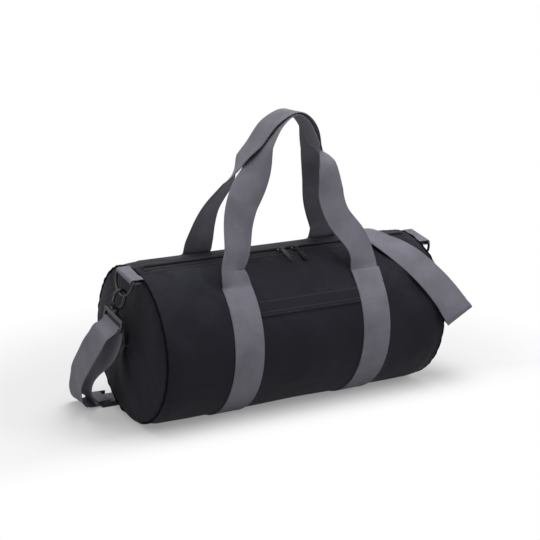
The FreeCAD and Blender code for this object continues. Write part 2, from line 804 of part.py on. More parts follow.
def share_points(table):
    """Points and width directions of a route given as shares."""
    points = []
    hints = []
    for (x_share, y_share, z_share), hint in table:
        height = max(z_share * barrel_radius, strap_floor)
        points.append(Vector(x_share * half_length, y_share * barrel_radius, height))
        hints.append(Vector(*hint))
    return points, hints


def end_points(side, table):
    """Points and width directions of a route beyond one end of the barrel: side 1 is the right end."""
    points, hints = share_points(table)
    for point, (shares, hint) in zip(points, table):
        point.x = side * (half_length + shares[0] * barrel_radius)
    return points, hints


def barrel_points(table, standoff):
    """Points and width directions of a route that stands off the barrel."""
    points = []
    hints = []
    line = barrel_radius + standoff + webbing_thickness / 2
    for x_share, deg, hint in table:
        points.append(polar(x_share * half_length, line, deg))
        hints.append(Vector(*hint))
    return points, hints


def rim_points():
    """Points and width directions of the strap where it passes the right end's rim."""
    points, hints = barrel_points(rim_route_shares, rim_standoff)
    for point, (x_share, deg, hint) in zip(points, rim_route_shares):
        point.x = half_length + x_share * barrel_radius
    return points, hints


def wrap_points(side, count=5):
    """Strap round the bar of one swivel eye: from its outer face over the top to its inner face."""
    centre = eye_bar()
    points = []
    for step in range(count):
        turn = math.radians(wrap_start_deg + 180 * step / (count - 1))
        point = centre + Vector(wrap_radius * math.cos(turn), 0, wrap_radius * math.sin(turn))
        point = leaned_point(point)
        points.append(Vector(side * point.x, point.y, point.z))
    return points


def run_ends():
    """Ends of the strap's straight run through the adjuster."""
    start = glide_x - glide_length / 2 - glide_run
    return start, glide_x + glide_length / 2 + glide_travel + glide_run


def shoulder_strap():
    """Strap from the adjuster along the floor, up the back, over the top and down to its fold."""
    start, end = run_ends()
    points = [Vector(start + (end - start) * share, glide_y, strap_run_height) for share in (0, 0.33, 0.67, 1)]
    hints = [Vector(0, 1, 0)] * len(points)
    for more_points, more_hints in (
        share_points(floor_route_shares),
        barrel_points(barrel_route_shares, strap_standoff),
        rim_points(),
        end_points(1, fold_route_shares),
    ):
        points = points + more_points
        hints = hints + more_hints
    return ribbon(points, hints, (x_axis, fold_along()))


def fold_along():
    """Direction of the strap where it reaches its fold at the right end."""
    tip = end_points(1, fold_route_shares)[0][0]
    along = tip - rim_points()[0][-1]
    along.normalize()
    return along


def strap_tail():
    """Strap from its fold up to the right eye, round the bar and sewn back on itself."""
    points, hints = end_points(1, tail_route_shares)
    tip, tip_hints = end_points(1, fold_route_shares)
    points = [tip[0] + fold_along() * gap * 3, tip[0] + fold_along() * fold_lead] + points
    hints = tip_hints * 2 + hints
    wrap = wrap_points(1)
    level = rolled_point(axis_point - y_axis, roll_deg) - axis_point
    down = leaned_point(eye_bar() - z_axis * sewn_end) - leaned_point(eye_bar())
    points = points + wrap + [wrap[-1] + down * share for share in sewn_shares]
    hints = hints + [level] * (len(wrap) + len(sewn_shares))
    return ribbon(points, hints)


def adjuster_loop():
    """Strap from the adjuster up to the left eye, round its bar and back down to the adjuster's pin."""
    start = Vector(run_ends()[0] - gap, glide_y, strap_run_height)
    outer, outer_hints = end_points(-1, outer_route_shares)
    wrap = wrap_points(-1)
    inner, inner_hints = end_points(-1, inner_route_shares)
    pin = Vector(glide_x, glide_y, glide_pin_height)
    lead = [pin + Vector(-glide_length * share, 0, pin_wrap) for share in lead_shares]
    around = []
    for step in range(5):
        turn = math.radians(90 - 45 * step)
        around.append(pin + Vector(pin_wrap * math.cos(turn), 0, pin_wrap * math.sin(turn)))
    tail = [pin + Vector(-sewn_end * share, 0, -pin_wrap) for share in sewn_shares]
    flat = Vector(0, 1, 0)
    points = [start] + outer + wrap + inner + lead + around + tail
    hints = [flat] + outer_hints + [outer_hints[-1]] * len(wrap) + inner_hints
    hints = hints + [flat] * (len(points) - len(hints))
    return ribbon(points, hints)


def tri_glide():
    """Adjuster: two side rails, two bars under the strap and a pin over it for the sewn end."""
    half = glide_length / 2
    side = webbing_width / 2 + gap
    top = glide_pin_height + glide_pin_radius
    pieces = []
    for sign in (-1, 1):
        rail_y = sorted((sign * side, sign * (side + glide_rail)))
        pieces.append(box((-half, half), rail_y, (0, top)))
        bar_x = sorted((sign * half, sign * (half - glide_bar)))
        pieces.append(box(bar_x, (-side, side), (0, glide_bar_height)))
    pieces.append(rod(glide_pin_radius, Vector(0, -side, glide_pin_height), Vector(0, side, glide_pin_height)))
    return pieces[0].fuse(pieces[1:]).removeSplitter().translated(Vector(glide_x, glide_y, 0))


def zip_ends():
    """Ranges along the barrel where the back of the zip is sewn down: left of the mouth and right of it."""
    return {"left": (-zip_half_length + gap, -mouth_left), "right": (mouth_right, zip_half_length - gap)}


def make_parts():
    """Every piece of the bag by its name."""
    whole = (-zip_half_length + gap, zip_half_length - gap)
    posts = [post_place(left_slider_x, 1), post_place(right_slider_x, -1)]
    parts = {
        "body_panel": body_panel(),
        "mouth_flap": mouth_flap(),
        "zip_tape_front": zip_tape(1, zip_deg, whole),
        "zip_tape_back": zip_tape(-1, zip_deg, mouth_x(window_gap)),
        "zip_teeth_front": zip_row(1, zip_deg, whole, posts),
        "zip_teeth_back": zip_row(-1, zip_deg, mouth_x(window_gap), posts),
        "left_slider": zip_slider(left_slider_x, 1),
        "right_slider": zip_slider(right_slider_x, -1),
        "left_pull": pull_tab(left_slider_x),
        "right_pull": pull_tab(right_slider_x),
        "front_handle": handle(True),
        "back_handle": handle(False),
        "pocket_strip": pocket_strip(),
        "pocket_pouch": pocket_pouch(),
        "pocket_zip_tapes": pocket_tapes(),
        "pocket_zip_teeth": pocket_teeth(),
        "pocket_slider": slider_body(pocket_slider_x, pocket_zip_deg, -1, pocket_zip_sink),
        "pocket_pull": pocket_pull(),
        "shoulder_strap": shoulder_strap(),
        "strap_tail": strap_tail(),
        "adjuster_loop": adjuster_loop(),
        "tri_glide": tri_glide(),
        "left_band": band(-1),
        "right_band": band(1),
    }
    for name, x_range in zip_ends().items():
        rows = [zip_tape(-1, zip_deg, x_range), zip_row(-1, zip_deg, x_range, [])]
        parts[name + "_zip_end"] = Part.Compound(rows)
    twins = {
        "end_panel": end_panel(),
        "end_piping": end_piping(),
        "end_binding": end_binding(),
        "ring_tab": ring_tab(),
        "d_ring": d_ring(),
        "hook_body": hook_body(),
        "hook_gate": hook_gate(),
        "gate_pin": gate_pin(),
        "swivel_eye": swivel_eye(),
    }
    for name, shape in twins.items():
        parts["right_" + name] = shape
        parts["left_" + name] = mirrored(shape)
    return parts


os.makedirs("parts", exist_ok=True)
for part_name, part_shape in make_parts().items():
    part_shape.exportStep(os.path.join("parts", part_name + ".step"))
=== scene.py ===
import math

import bpy
import numpy as np
from mathutils import Matrix, Vector


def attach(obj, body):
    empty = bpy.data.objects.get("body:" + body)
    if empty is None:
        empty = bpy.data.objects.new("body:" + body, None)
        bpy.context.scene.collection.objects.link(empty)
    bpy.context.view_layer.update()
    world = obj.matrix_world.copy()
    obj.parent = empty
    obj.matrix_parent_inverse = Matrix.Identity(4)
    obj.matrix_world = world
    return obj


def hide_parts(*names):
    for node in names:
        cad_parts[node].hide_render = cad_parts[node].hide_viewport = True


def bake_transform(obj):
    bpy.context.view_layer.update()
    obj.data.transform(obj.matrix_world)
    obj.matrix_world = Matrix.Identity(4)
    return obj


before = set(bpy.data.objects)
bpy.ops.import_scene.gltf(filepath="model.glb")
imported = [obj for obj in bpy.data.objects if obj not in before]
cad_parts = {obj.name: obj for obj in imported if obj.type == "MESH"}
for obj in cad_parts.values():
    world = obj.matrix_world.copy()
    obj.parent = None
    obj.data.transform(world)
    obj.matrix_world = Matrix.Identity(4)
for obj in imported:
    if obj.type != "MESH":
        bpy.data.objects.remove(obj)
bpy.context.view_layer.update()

# Sizes in metres, in the same frame as the solids. Angles are degrees, from the top towards the front
RADIUS = 0.1255
END_X = 0.250
AXIS_Z = 0.1235
DEG = math.degrees(1.0 / RADIUS)
CLOTH = 0.0016
SHOULDER = 0.0030
BAND_X = 0.115
WEB_W = 0.050
WEB_T = 0.0016
FRONT_ANCHOR = 42.0
BACK_ANCHOR = -18.0
SIDES = ((-1, "left"), (1, "right"))
BAG = "bag"

# The main zip, rolled to the front, and the mouth that folds back about its hinge line
ROLL = 12.0
SLOT_HALF = 0.0072
ZIP_X = 0.240
HINGE = -16.12
MOUTH = (-0.215, 0.118)
MOUTH_MIDDLE = -0.05
MOUTH_FULL = (-0.095, 0.0)

# The front pocket
POCKET_TOP = 56.0
POCKET_BOTTOM = 67.87
POCKET_ZIP = (POCKET_TOP + POCKET_BOTTOM) / 2
POCKET_SLOT_HALF = 0.0070
POCKET_X = 0.078

# Rows of stitches
SEAM_PITCH = 0.0036
SEAM_ROW = 0.005
SEAM_END = 0.238
EDGE_ROW = 0.0222
CROSS_ROW = 0.022


def polar(x, r, deg):
    """Points at a radius from the barrel's axis, at an angle from the top towards the front."""
    x, r, t = np.broadcast_arrays(*(np.asarray(v, float) for v in (x, r, np.radians(deg))))
    return np.stack([x, -r * np.sin(t), AXIS_Z + r * np.cos(t)], axis=-1)


def outward(deg):
    """Direction away from the barrel's axis at an angle."""
    return polar(0, 1, deg) - np.array([0, 0, AXIS_Z])


def roll(points):
    """Points turned with the zip about the barrel's axis, from the top towards the front."""
    p = np.asarray(points, float)
    t = math.radians(ROLL)
    y, z = p[..., 1], p[..., 2] - AXIS_Z
    turned = y * math.cos(t) - z * math.sin(t), AXIS_Z + y * math.sin(t) + z * math.cos(t)
    return np.stack([p[..., 0], *turned], axis=-1)


def smooth(t):
    """Eased step from 0 to 1."""
    t = np.clip(t, 0.0, 1.0)
    return t * t * (3 - 2 * t)


def unit(v):
    v = np.asarray(v, float)
    return v / np.linalg.norm(v, axis=-1, keepdims=True)


def distances(points):
    """Distance of each point along a line of points."""
    return np.concatenate([[0], np.cumsum(np.linalg.norm(np.diff(points, axis=0), axis=1))])


# Materials

NOISE_LOW, NOISE_HIGH = 0.25, 0.75
SHEEN_ROUGHNESS = 0.5
COAT_ROUGHNESS = 0.25


def feed(tree, made, sockets):
    """Set or link a node's inputs, by name or number."""
    for key, value in sockets.items():
        if isinstance(value, bpy.types.NodeSocket):
            tree.links.new(value, made.inputs[key])
        else:
            made.inputs[key].default_value = value


def node(tree, kind, sockets=(), **settings):
    made = tree.nodes.new(kind)
    for key, value in settings.items():
        setattr(made, key, value)
    feed(tree, made, dict(sockets))
    return made


def calc(tree, operation, *values):
    return node(tree, "ShaderNodeMath", enumerate(values), operation=operation).outputs[0]


def noise(tree, scale, detail):
    place = node(tree, "ShaderNodeTexCoord").outputs["Object"]
    sockets = {"Vector": place, "Scale": scale, "Detail": detail}
    return node(tree, "ShaderNodeTexNoise", sockets).outputs["Fac"]


def remap(tree, value, low, high):
    sockets = {"Value": value, "From Min": NOISE_LOW, "From Max": NOISE_HIGH, "To Min": low, "To Max": high}
    return node(tree, "ShaderNodeMapRange", sockets).outputs["Result"]


def tint(tree, value, dark, light):
    ramp = node(tree, "ShaderNodeValToRGB", {"Fac": value})
    stops = ((NOISE_LOW, dark), (NOISE_HIGH, light))
    for element, (position, color) in zip(ramp.color_ramp.elements, stops):
        element.position = position
        element.color = (*color, 1)
    return ramp.outputs["Color"]


def shade(color, factor):
    return tuple(min(1.0, c * factor) for c in color)


def bump(tree, height, distance, strength, under=None):
    sockets = {"Height": height, "Distance": distance, "Strength": strength}
    if under is not None:
        sockets["Normal"] = under
    return node(tree, "ShaderNodeBump", sockets).outputs["Normal"]


def material(name, color, roughness, specular, metallic=0.0):
    made = bpy.data.materials.new(name)
    made.use_nodes = True
    made.diffuse_color = (*color, 1)
    tree = made.node_tree
    shader = tree.nodes["Principled BSDF"]
    feed(tree, shader, {"Base Color": (*color, 1), "Roughness": roughness, "Specular IOR Level": specular,
                        "Metallic": metallic})
    return made, tree, shader


def weave(tree, pitch_u, pitch_v):
    """Threads over and under each other, on map coordinates in metres."""
    place = node(tree, "ShaderNodeTexCoord").outputs["UV"]
    split = node(tree, "ShaderNodeSeparateXYZ", {0: place})
    across = calc(tree, "SINE", calc(tree, "MULTIPLY", split.outputs["X"], 2 * math.pi / pitch_u))
    along = calc(tree, "SINE", calc(tree, "MULTIPLY", split.outputs["Y"], 2 * math.pi / pitch_v))
    return across, along


def woven(name, color, pitch, roughness, specular, sheen, crease):
    """Plain woven cloth: fine weave, slubs, cloudy tone and soft small creases."""
    made, tree, shader = material(name, color, roughness, specular)
    across, along = weave(tree, pitch, pitch)
    fine = noise(tree, 900.0, 2.0)
    cloud = noise(tree, 11.0, 4.0)
    cells = calc(tree, "ADD", calc(tree, "MULTIPLY", across, along), fine)
    soft = bump(tree, noise(tree, 28.0, 2.0), crease, 0.65)
    feed(tree, shader, {
        "Base Color": tint(tree, cloud, shade(color, 0.82), shade(color, 1.2)),
        "Roughness": remap(tree, fine, roughness - 0.07, roughness + 0.07),
        "Sheen Weight": sheen,
        "Sheen Roughness": SHEEN_ROUGHNESS,
        "Normal": bump(tree, cells, 0.00012, 0.45, soft),
    })
    return made


def webbing_material(name, color):
    """Ribbed webbing: ribs along its length, crosswise picks, a cloudy tone and a little fuzz."""
    made, tree, shader = material(name, color, 0.78, 0.12)
    across, along = weave(tree, 0.0025, 0.0011)
    cloud = noise(tree, 26.0, 3.0)
    fuzz = noise(tree, 1500.0, 2.0)
    ribs = calc(tree, "MULTIPLY_ADD", across, 0.5, 0.5)
    mixed = calc(tree, "ADD", calc(tree, "MULTIPLY", across, 0.12), cloud)
    picks = calc(tree, "ADD", calc(tree, "MULTIPLY", along, 0.35), calc(tree, "MULTIPLY", fuzz, 0.5))
    feed(tree, shader, {
        "Base Color": tint(tree, mixed, shade(color, 0.80), shade(color, 1.18)),
        "Roughness": remap(tree, fuzz, 0.70, 0.88),
        "Sheen Weight": 0.12,
        "Sheen Roughness": SHEEN_ROUGHNESS,
        "Normal": bump(tree, calc(tree, "ADD", ribs, picks), 0.00016, 0.5),
    })
    return made


def hard_material(name, color, roughness, specular, metallic, coat, grain):
    """Lacquered metal or moulded plastic: fine texture, uneven gloss and a little wear in the tone."""
    made, tree, shader = material(name, color, roughness, specular, metallic)
    cloud = noise(tree, 60.0, 4.0)
    fine = noise(tree, grain, 3.0)
    feed(tree, shader, {
        "Base Color": tint(tree, cloud, shade(color, 0.75), shade(color, 1.35)),
        "Roughness": remap(tree, fine, roughness - 0.08, roughness + 0.1),
        "Coat Weight": coat,
        "Coat Roughness": COAT_ROUGHNESS,
        "Normal": bump(tree, fine, 0.00008, 0.3),
    })
    return made


# Cloths and threads: colour, thread pitch, roughness, specular level, sheen, depth of creases
BLACK = woven("polyester_black", (0.0136, 0.0138, 0.0192), 0.0007, 0.60, 0.07, 0.0, 0.0045)
# Darker than the wrap's cloth: painted shade of the groove along each end's seam, worn by the piping cord
SEAM_SHADE = woven("seam_painted_shade", (0.0040, 0.0040, 0.0052), 0.0007, 0.8, 0.03, 0.0, 0.0006)
LINING = woven("lining_black", (0.018, 0.018, 0.021), 0.0005, 0.62, 0.15, 0.0, 0.0010)
TAPE = woven("zip_tape_black", (0.008, 0.008, 0.010), 0.0009, 0.75, 0.05, 0.0, 0.0002)
BINDING = woven("binding_black", (0.016, 0.016, 0.018), 0.0010, 0.8, 0.2, 0.1, 0.0003)
WEB = webbing_material("webbing_grey", (0.150, 0.146, 0.174))
THREAD_GREY = woven("thread_grey", (0.190, 0.187, 0.208), 0.0004, 0.7, 0.3, 0.1, 0.0001)
THREAD_BLACK = woven("thread_black", (0.030, 0.030, 0.034), 0.0004, 0.6, 0.4, 0.15, 0.0001)
# Hard finishes: colour, roughness, specular level, metal, coat, grain
COIL = hard_material("coil_black", (0.010, 0.010, 0.012), 0.40, 0.22, 0.0, 0.0, 700.0)
LACQUER = hard_material("lacquer_black", (0.010, 0.010, 0.012), 0.34, 0.32, 0.2, 0.14, 900.0)
PULL = hard_material("gunmetal", (0.022, 0.022, 0.025), 0.30, 0.45, 0.5, 0.12, 900.0)
STEEL = hard_material("pin_steel", (0.45, 0.45, 0.46), 0.32, 0.5, 1.0, 0.0, 800.0)
PLASTIC = hard_material("plastic_black", (0.014, 0.014, 0.015), 0.5, 0.45, 0.0, 0.0, 1400.0)


# Mesh building

def add_mesh(name, verts, faces, mat, uv=None):
    verts = np.asarray(verts, float)
    used = np.zeros(len(verts), bool)
    for face in faces:
        used[list(face)] = True
    index = np.cumsum(used) - 1
    mesh = bpy.data.meshes.new(name)
    mesh.from_pydata(verts[used].tolist(), [], [[int(index[i]) for i in face] for face in faces])
    mesh.polygons.foreach_set("use_smooth", [True] * len(mesh.polygons))
    if uv is not None:
        uv = np.asarray(uv, float)[used]
        layer = mesh.uv_layers.new(name="map")
        corner = np.zeros(len(mesh.loops), int)
        mesh.loops.foreach_get("vertex_index", corner)
        layer.data.foreach_set("uv", uv[corner].astype(np.float32).ravel())
    mesh.materials.append(mat)
    mesh.update()
    made = bpy.data.objects.new(name, mesh)
    bpy.context.collection.objects.link(made)
    return made


def tube_faces(base, rows, sides, flip=False):
    """Faces between rings of points."""
    faces = []
    for i in range(rows - 1):
        low = base + i * sides
        for s in range(sides):
            t = (s + 1) % sides
            face = (low + s, low + t, low + sides + t, low + sides + s)
            faces.append(face[::-1] if flip else face)
    return faces


def capped_faces(base, rows, sides, flip=False):
    """Faces of a tube between rings of points, with both ends closed."""
    first = tuple(range(base + sides - 1, base - 1, -1))
    last = tuple(range(base + (rows - 1) * sides, base + rows * sides))
    return tube_faces(base, rows, sides, flip) + [end[::-1] if flip else end for end in (first, last)]


def shell(name, outer, inner, uv, mat, inner_mat=None, keep=None):
    """Closed sheet between two grids of points, with holes where cells aren't kept."""
    nu, nv = outer.shape[:2]
    if keep is None:
        keep = np.ones((nu - 1, nv - 1), bool)
    ident = np.arange(nu * nv).reshape(nu, nv)
    step = nu * nv
    faces = []
    edges = {}
    for i, j in zip(*np.nonzero(keep)):
        ring = (ident[i, j], ident[i + 1, j], ident[i + 1, j + 1], ident[i, j + 1])
        faces.append(ring)
        for a, b in zip(ring, ring[1:] + ring[:1]):
            if (b, a) in edges:
                del edges[(b, a)]
            else:
                edges[(a, b)] = True
    back = len(faces)
    faces = faces + [tuple(i + step for i in reversed(ring)) for ring in faces]
    flat = np.concatenate([outer.reshape(-1, 3), inner.reshape(-1, 3)])
    flat_uv = np.concatenate([uv.reshape(-1, 2)] * 2)
    extra = []
    extra_uv = []
    base = len(flat)
    for a, b in edges:
        extra += [flat[b], flat[a], flat[a + step], flat[b + step]]
        extra_uv += [flat_uv[b], flat_uv[a], flat_uv[a], flat_uv[b]]
        faces.append((base, base + 1, base + 2, base + 3))
        base += 4
    flat = np.concatenate([flat, np.array(extra)])
    flat_uv = np.concatenate([flat_uv, np.array(extra_uv)])
    made = add_mesh(name, flat, faces, mat, flat_uv)
    if inner_mat is not None:
        made.data.materials.append(inner_mat)
        picks = np.zeros(len(made.data.polygons), int)
        picks[back:2 * back] = 1
        made.data.polygons.foreach_set("material_index", picks)
    return made


def spline(points, start=None, end=None):
    """Smooth curve through points: its value and direction at a share of index."""
    p = np.asarray(points, float)
    n = len(p)
    h = np.diff(distances(p))
    a = np.zeros((n, n))
    rhs = np.zeros((n, 3))
    for i in range(1, n - 1):
        a[i, i - 1:i + 2] = h[i], 2 * (h[i - 1] + h[i]), h[i - 1]
        rhs[i] = 3 * (h[i] * (p[i] - p[i - 1]) / h[i - 1] + h[i - 1] * (p[i + 1] - p[i]) / h[i])
    if start is None:
        a[0, :2] = 2, 1
        rhs[0] = 3 * (p[1] - p[0]) / h[0]
    else:
        a[0, 0] = 1
        rhs[0] = unit(start)
    if end is None:
        a[-1, -2:] = 1, 2
        rhs[-1] = 3 * (p[-1] - p[-2]) / h[-1]
    else:
        a[-1, -1] = 1
        rhs[-1] = unit(end)
    m = np.linalg.solve(a, rhs)

    def at(index, share):
        d = h[index]
        t = share
        value = ((2 * t ** 3 - 3 * t ** 2 + 1) * p[index] + (t ** 3 - 2 * t ** 2 + t) * d * m[index]
                 + (-2 * t ** 3 + 3 * t ** 2) * p[index + 1] + (t ** 3 - t ** 2) * d * m[index + 1])
        slope = ((6 * t ** 2 - 6 * t) * p[index] / d + (3 * t ** 2 - 4 * t + 1) * m[index]
                 + (-6 * t ** 2 + 6 * t) * p[index + 1] / d + (3 * t ** 2 - 2 * t) * m[index + 1])
        return value, unit(slope)

    return at, h


def sections(points, hints, start=None, end=None, pitch=0.004):
    """Centres, directions and widths along a strap's line."""
    at, h = spline(points, start, end)
    centres, along, wide = [], [], []
    for i in range(len(points) - 1):
        count = max(2, int(math.ceil(h[i] / pitch)))
        last = i == len(points) - 2
        for k in range(count + (1 if last else 0)):
            t = k / count
            c, d = at(i, t)
            hint = np.asarray(hints[i], float) * (1 - t) + np.asarray(hints[i + 1], float) * t
            w = unit(hint - d * float(hint @ d))
            centres.append(c)
            along.append(d)
            wide.append(w)
    return np.array(centres), np.array(along), np.array(wide)


def strap_profile(width):
    """Webbing's cross-section: flat faces and rounded selvedges."""
    half = width / 2
    t = WEB_T / 2
    top = [-half + t, -half + 2.2 * t, -half * 0.66, -half * 0.33, 0]
    top += [half * 0.33, half * 0.66, half - 2.2 * t, half - t]
    points = [(a, t) for a in top]
    points += [(half - 0.3 * t, 0.7 * t), (half, 0), (half - 0.3 * t, -0.7 * t)]
    points += [(a, -t) for a in reversed(top)]
    points += [(-half + 0.3 * t, -0.7 * t), (-half, 0), (-half + 0.3 * t, 0.7 * t)]
    return np.array(points)


def strap(name, centres, along, wide, width=WEB_W):
    """Webbing along sections, closed at both ends."""
    profile = strap_profile(width)
    n, k = len(centres), len(profile)
    deep = np.cross(along, wide)
    verts = centres[:, None] + wide[:, None] * profile[None, :, :1] + deep[:, None] * profile[None, :, 1:]
    run = distances(centres)
    uv = np.zeros((n, k, 2))
    uv[..., 0] = profile[None, :, 0] + width / 2
    uv[..., 1] = run[:, None]
    faces = tube_faces(0, n, k)
    verts = verts.reshape(-1, 3)
    uv = uv.reshape(-1, 2)
    for ring, flip in ((np.arange(k), True), (np.arange(k) + (n - 1) * k, False)):
        cap = np.arange(k) + len(verts)
        verts = np.concatenate([verts, verts[ring]])
        uv = np.concatenate([uv, uv[ring]])
        faces.append(tuple(cap[::-1] if flip else cap))
    return add_mesh(name, verts, faces, WEB, uv)


# Rings of one stitch: place along its pitch, then lift and thickness in radii of the thread
STITCH_AT = np.array([-0.37, -0.24, 0.0, 0.24, 0.37])
STITCH_LIFT = np.array([-0.9, 0.15, 0.45, 0.15, -0.9])
STITCH_SIZE = np.array([0.35, 0.9, 1.0, 0.9, 0.35])


def stitches(name, rows, mat, pitch=0.0042, radius=0.00032):
    """Rows of sewn stitches: each row is points on a surface and the surface's outward directions."""
    verts, faces, uv = [], [], []
    sides = 6
    lift, size = STITCH_LIFT * radius, STITCH_SIZE * radius
    for points, normals in rows:
        points = np.asarray(points, float)
        normals = unit(np.broadcast_to(np.asarray(normals, float), points.shape))
        run = distances(points)
        count = max(1, int(run[-1] / pitch))
        for k in range(count):
            spots = (k + 0.5 + STITCH_AT) * run[-1] / count
            c = np.stack([np.interp(spots, run, points[:, i]) for i in range(3)], axis=1)
            n = unit(np.stack([np.interp(spots, run, normals[:, i]) for i in range(3)], axis=1))
            side = unit(np.cross(n, unit(c[-1] - c[0])))
            base = len(verts)
            for r in range(len(spots)):
                for s in range(sides):
                    a = 2 * math.pi * s / sides
                    raised = n[r] * (lift[r] + size[r] * math.sin(a))
                    verts.append(c[r] + raised + side[r] * size[r] * math.cos(a))
                    uv.append((s * radius, spots[r]))
            faces += capped_faces(base, len(spots), sides)
    return add_mesh(name, verts, faces, mat, uv)


def stand_for(nodes):
    if nodes:
        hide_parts(*nodes)


def ride(made, slot, *nodes, body=BAG):
    """A piece that moves with one body, and the nodes that it stands for."""
    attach(made, body)
    stand_for(nodes)


def bend(made, body, start, end, slot, *nodes):
    """A piece with its placing baked into its points, and the nodes that it stands for."""
    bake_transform(made)
    stand_for(nodes)


def halves(made_by_range, name, slot, *nodes):
    """Two pieces of the mouth, one on each side of its middle."""
    left = made_by_range(name + "_left", MOUTH[0], MOUTH_MIDDLE)
    bend(left, "mouth", (MOUTH[0], 0, 0), (MOUTH_FULL[0], 0, 0), slot, *nodes)
    right = made_by_range(name + "_right", MOUTH_MIDDLE, MOUTH[1])
    bend(right, "mouth", (MOUTH[1], 0, 0), (MOUTH_FULL[1], 0, 0), slot)


# The barrel's wrap: one grid of points for the bag's skin and for the flap of its mouth

def ticks(low, high, pitch, marks=()):
    stops = sorted({low, high, *[m for m in marks if low < m < high]})
    out = []
    for a, b in zip(stops, stops[1:]):
        count = max(1, int(round((b - a) / pitch)))
        out += [a + (b - a) * k / count for k in range(count)]
    return np.array(out + [high])


def near(value, centre, inner, outer):
    """1 within inner of centre, 0 beyond outer."""
    return 1 - smooth((np.abs(value - centre) - inner) / (outer - inner))


ZIP_FRONT = ROLL + SLOT_HALF * DEG
ZIP_BACK = ROLL - SLOT_HALF * DEG + 360
HINGE_ROUND = HINGE + 360
hem_steps = np.array([0, 0.0004, 0.0008, 0.0013, 0.0019, 0.0027, 0.0036, 0.0044, 0.005, 0.0056, 0.0064,
                      0.0072, 0.008, 0.0092])
front_rows = ZIP_FRONT + hem_steps * DEG
back_rows = ZIP_BACK - hem_steps[::-1] * DEG
pocket_edges = [POCKET_ZIP - POCKET_SLOT_HALF * DEG, POCKET_ZIP + POCKET_SLOT_HALF * DEG]
middle_rows = ticks(front_rows[-1], back_rows[0], 1.5, pocket_edges + [HINGE_ROUND, 180.0])
GRID_T = np.concatenate([front_rows[:-1], middle_rows, back_rows[1:], [ROLL + 360, ZIP_FRONT + 360]])
end_steps = np.array([0, 0.0012, 0.0026, 0.0042, 0.006, 0.0085])
end_lip = END_X + 0.0006
band_edges = [side * (BAND_X + half) for side in (-1, 1) for half in (-WEB_W / 2, WEB_W / 2)]
inner_marks = [-ZIP_X, ZIP_X, *MOUTH, -POCKET_X, POCKET_X, MOUTH_MIDDLE, *band_edges]
inner_x = ticks(-END_X + end_steps[-1], END_X - end_steps[-1], 0.0034, inner_marks)
low_end, high_end = -END_X + end_steps[:-1], (END_X - end_steps[:-1])[::-1]
GRID_X = np.concatenate([[-end_lip], low_end, inner_x, high_end, [end_lip]])

# Soft folds of the cloth: height, frequency along the barrel, frequency round it, phase
BROAD_FOLDS = [(0.0011, 31, 14, 0.4), (0.0010, -22, 27, 1.9), (0.0008, 47, -19, 4.1)]
TOP_STREAKS = [(0.0012, 150, 12, 0.3), (0.0008, 213, -21, 2.2), (0.0008, 98, 34, 5.0)]
SLANTED_FOLDS = [(0.0011, 62, 75, 1.1), (0.0009, -74, 68, 3.3)]
ANCHOR_FOLDS = [(0.0012, 150, 150, 0.8), (0.0008, 205, 120, 2.6)]
SEAM_PUCKERS = [(0.0003, 20, 330, 0.2), (0.0003, -35, 455, 1.7), (0.0002, 12, 236, 4.0)]


def wave(x, a, terms):
    """Sum of waves, each given by its height, its two frequencies and its phase."""
    return sum(amp * np.sin(fx * x + fa * a + ph) for amp, fx, fa, ph in terms)


def free_cloth(x, turn):
    """1 where the cloth is free to fold, 0 where a band, a zip or the mouth's hinge line keeps it flat."""
    free = (1 - near(x, -BAND_X, 0.026, 0.036)) * (1 - near(x, BAND_X, 0.026, 0.036))
    free = free * (1 - near(turn, HINGE, 1.0, 5.0) * (x > MOUTH[0] - 0.004) * (x < MOUTH[1] + 0.004))
    free = free * (1 - near(turn, ROLL, 6.5, 11.0))
    strip = near(turn, POCKET_ZIP, 6.5, 10.0) * near(x, 0, 0.086, 0.092)
    return free * (1 - 0.85 * strip)


def soft_folds(x, a, turn):
    """Folds of the free cloth, shallower low on the barrel and over the pocket's pouch."""
    streak = near(turn, 30, 14, 44) * wave(x, a, TOP_STREAKS)
    slant = wave(x, a, SLANTED_FOLDS) * near(np.abs(x), 0.19, 0.02, 0.06)
    anchor = near(np.abs(x), BAND_X, 0.02, 0.075) * near(turn, 36, 8, 26)
    drag = anchor * wave(np.abs(x), a, ANCHOR_FOLDS)
    low = smooth((np.abs(turn) - 75) / 45)
    folds = (wave(x, a, BROAD_FOLDS) + slant) * (1 - 0.75 * low) + streak + drag - 0.0008
    pouch = near(turn, 97, 26, 34) * near(x, 0, 0.084, 0.094)
    return np.maximum(folds, -0.0018 + 0.0012 * pouch)


def zip_hem(x, deg):
    """Folded hems along both sides of the main zip."""
    lip_front = np.where(deg < 180, (deg - ZIP_FRONT) / DEG, 1.0)
    lip_back = np.where(deg > 180, (ZIP_BACK - deg) / DEG, 1.0)
    lip = np.minimum(np.abs(lip_front), np.abs(lip_back))
    lip = np.where((deg > ZIP_BACK) | (deg < ZIP_FRONT), 0.0, lip)
    hem = 0.0007 * (1 - smooth((lip - 0.0064) / 0.0012)) - 0.0013 * (1 - np.clip(lip / 0.0019, 0, 1)) ** 2
    hem = hem - 0.00022 * np.exp(-((lip - SEAM_ROW) / 0.0007) ** 2)
    return hem * smooth((ZIP_X + 0.004 - np.abs(x)) / 0.006)


def skin_drop(x, deg):
    """How far the wrap stands off its true cylinder: hems, seams, and soft folds."""
    a = np.radians(deg) * RADIUS
    turn = np.where(deg > 196, deg - 360, deg)
    end = END_X - np.abs(x)
    pucker = np.exp(-np.maximum(end, 0) / 0.009) * wave(x, a, SEAM_PUCKERS)
    drop = free_cloth(x, turn) * soft_folds(x, a, turn) + pucker
    drop = drop - SHOULDER * (1 - smooth(end / 0.022)) - 0.0012 * np.exp(-np.maximum(end, 0) / 0.002)
    drop = drop - np.where(end < 0, 0.0045, 0.0)
    return drop + zip_hem(x, deg)


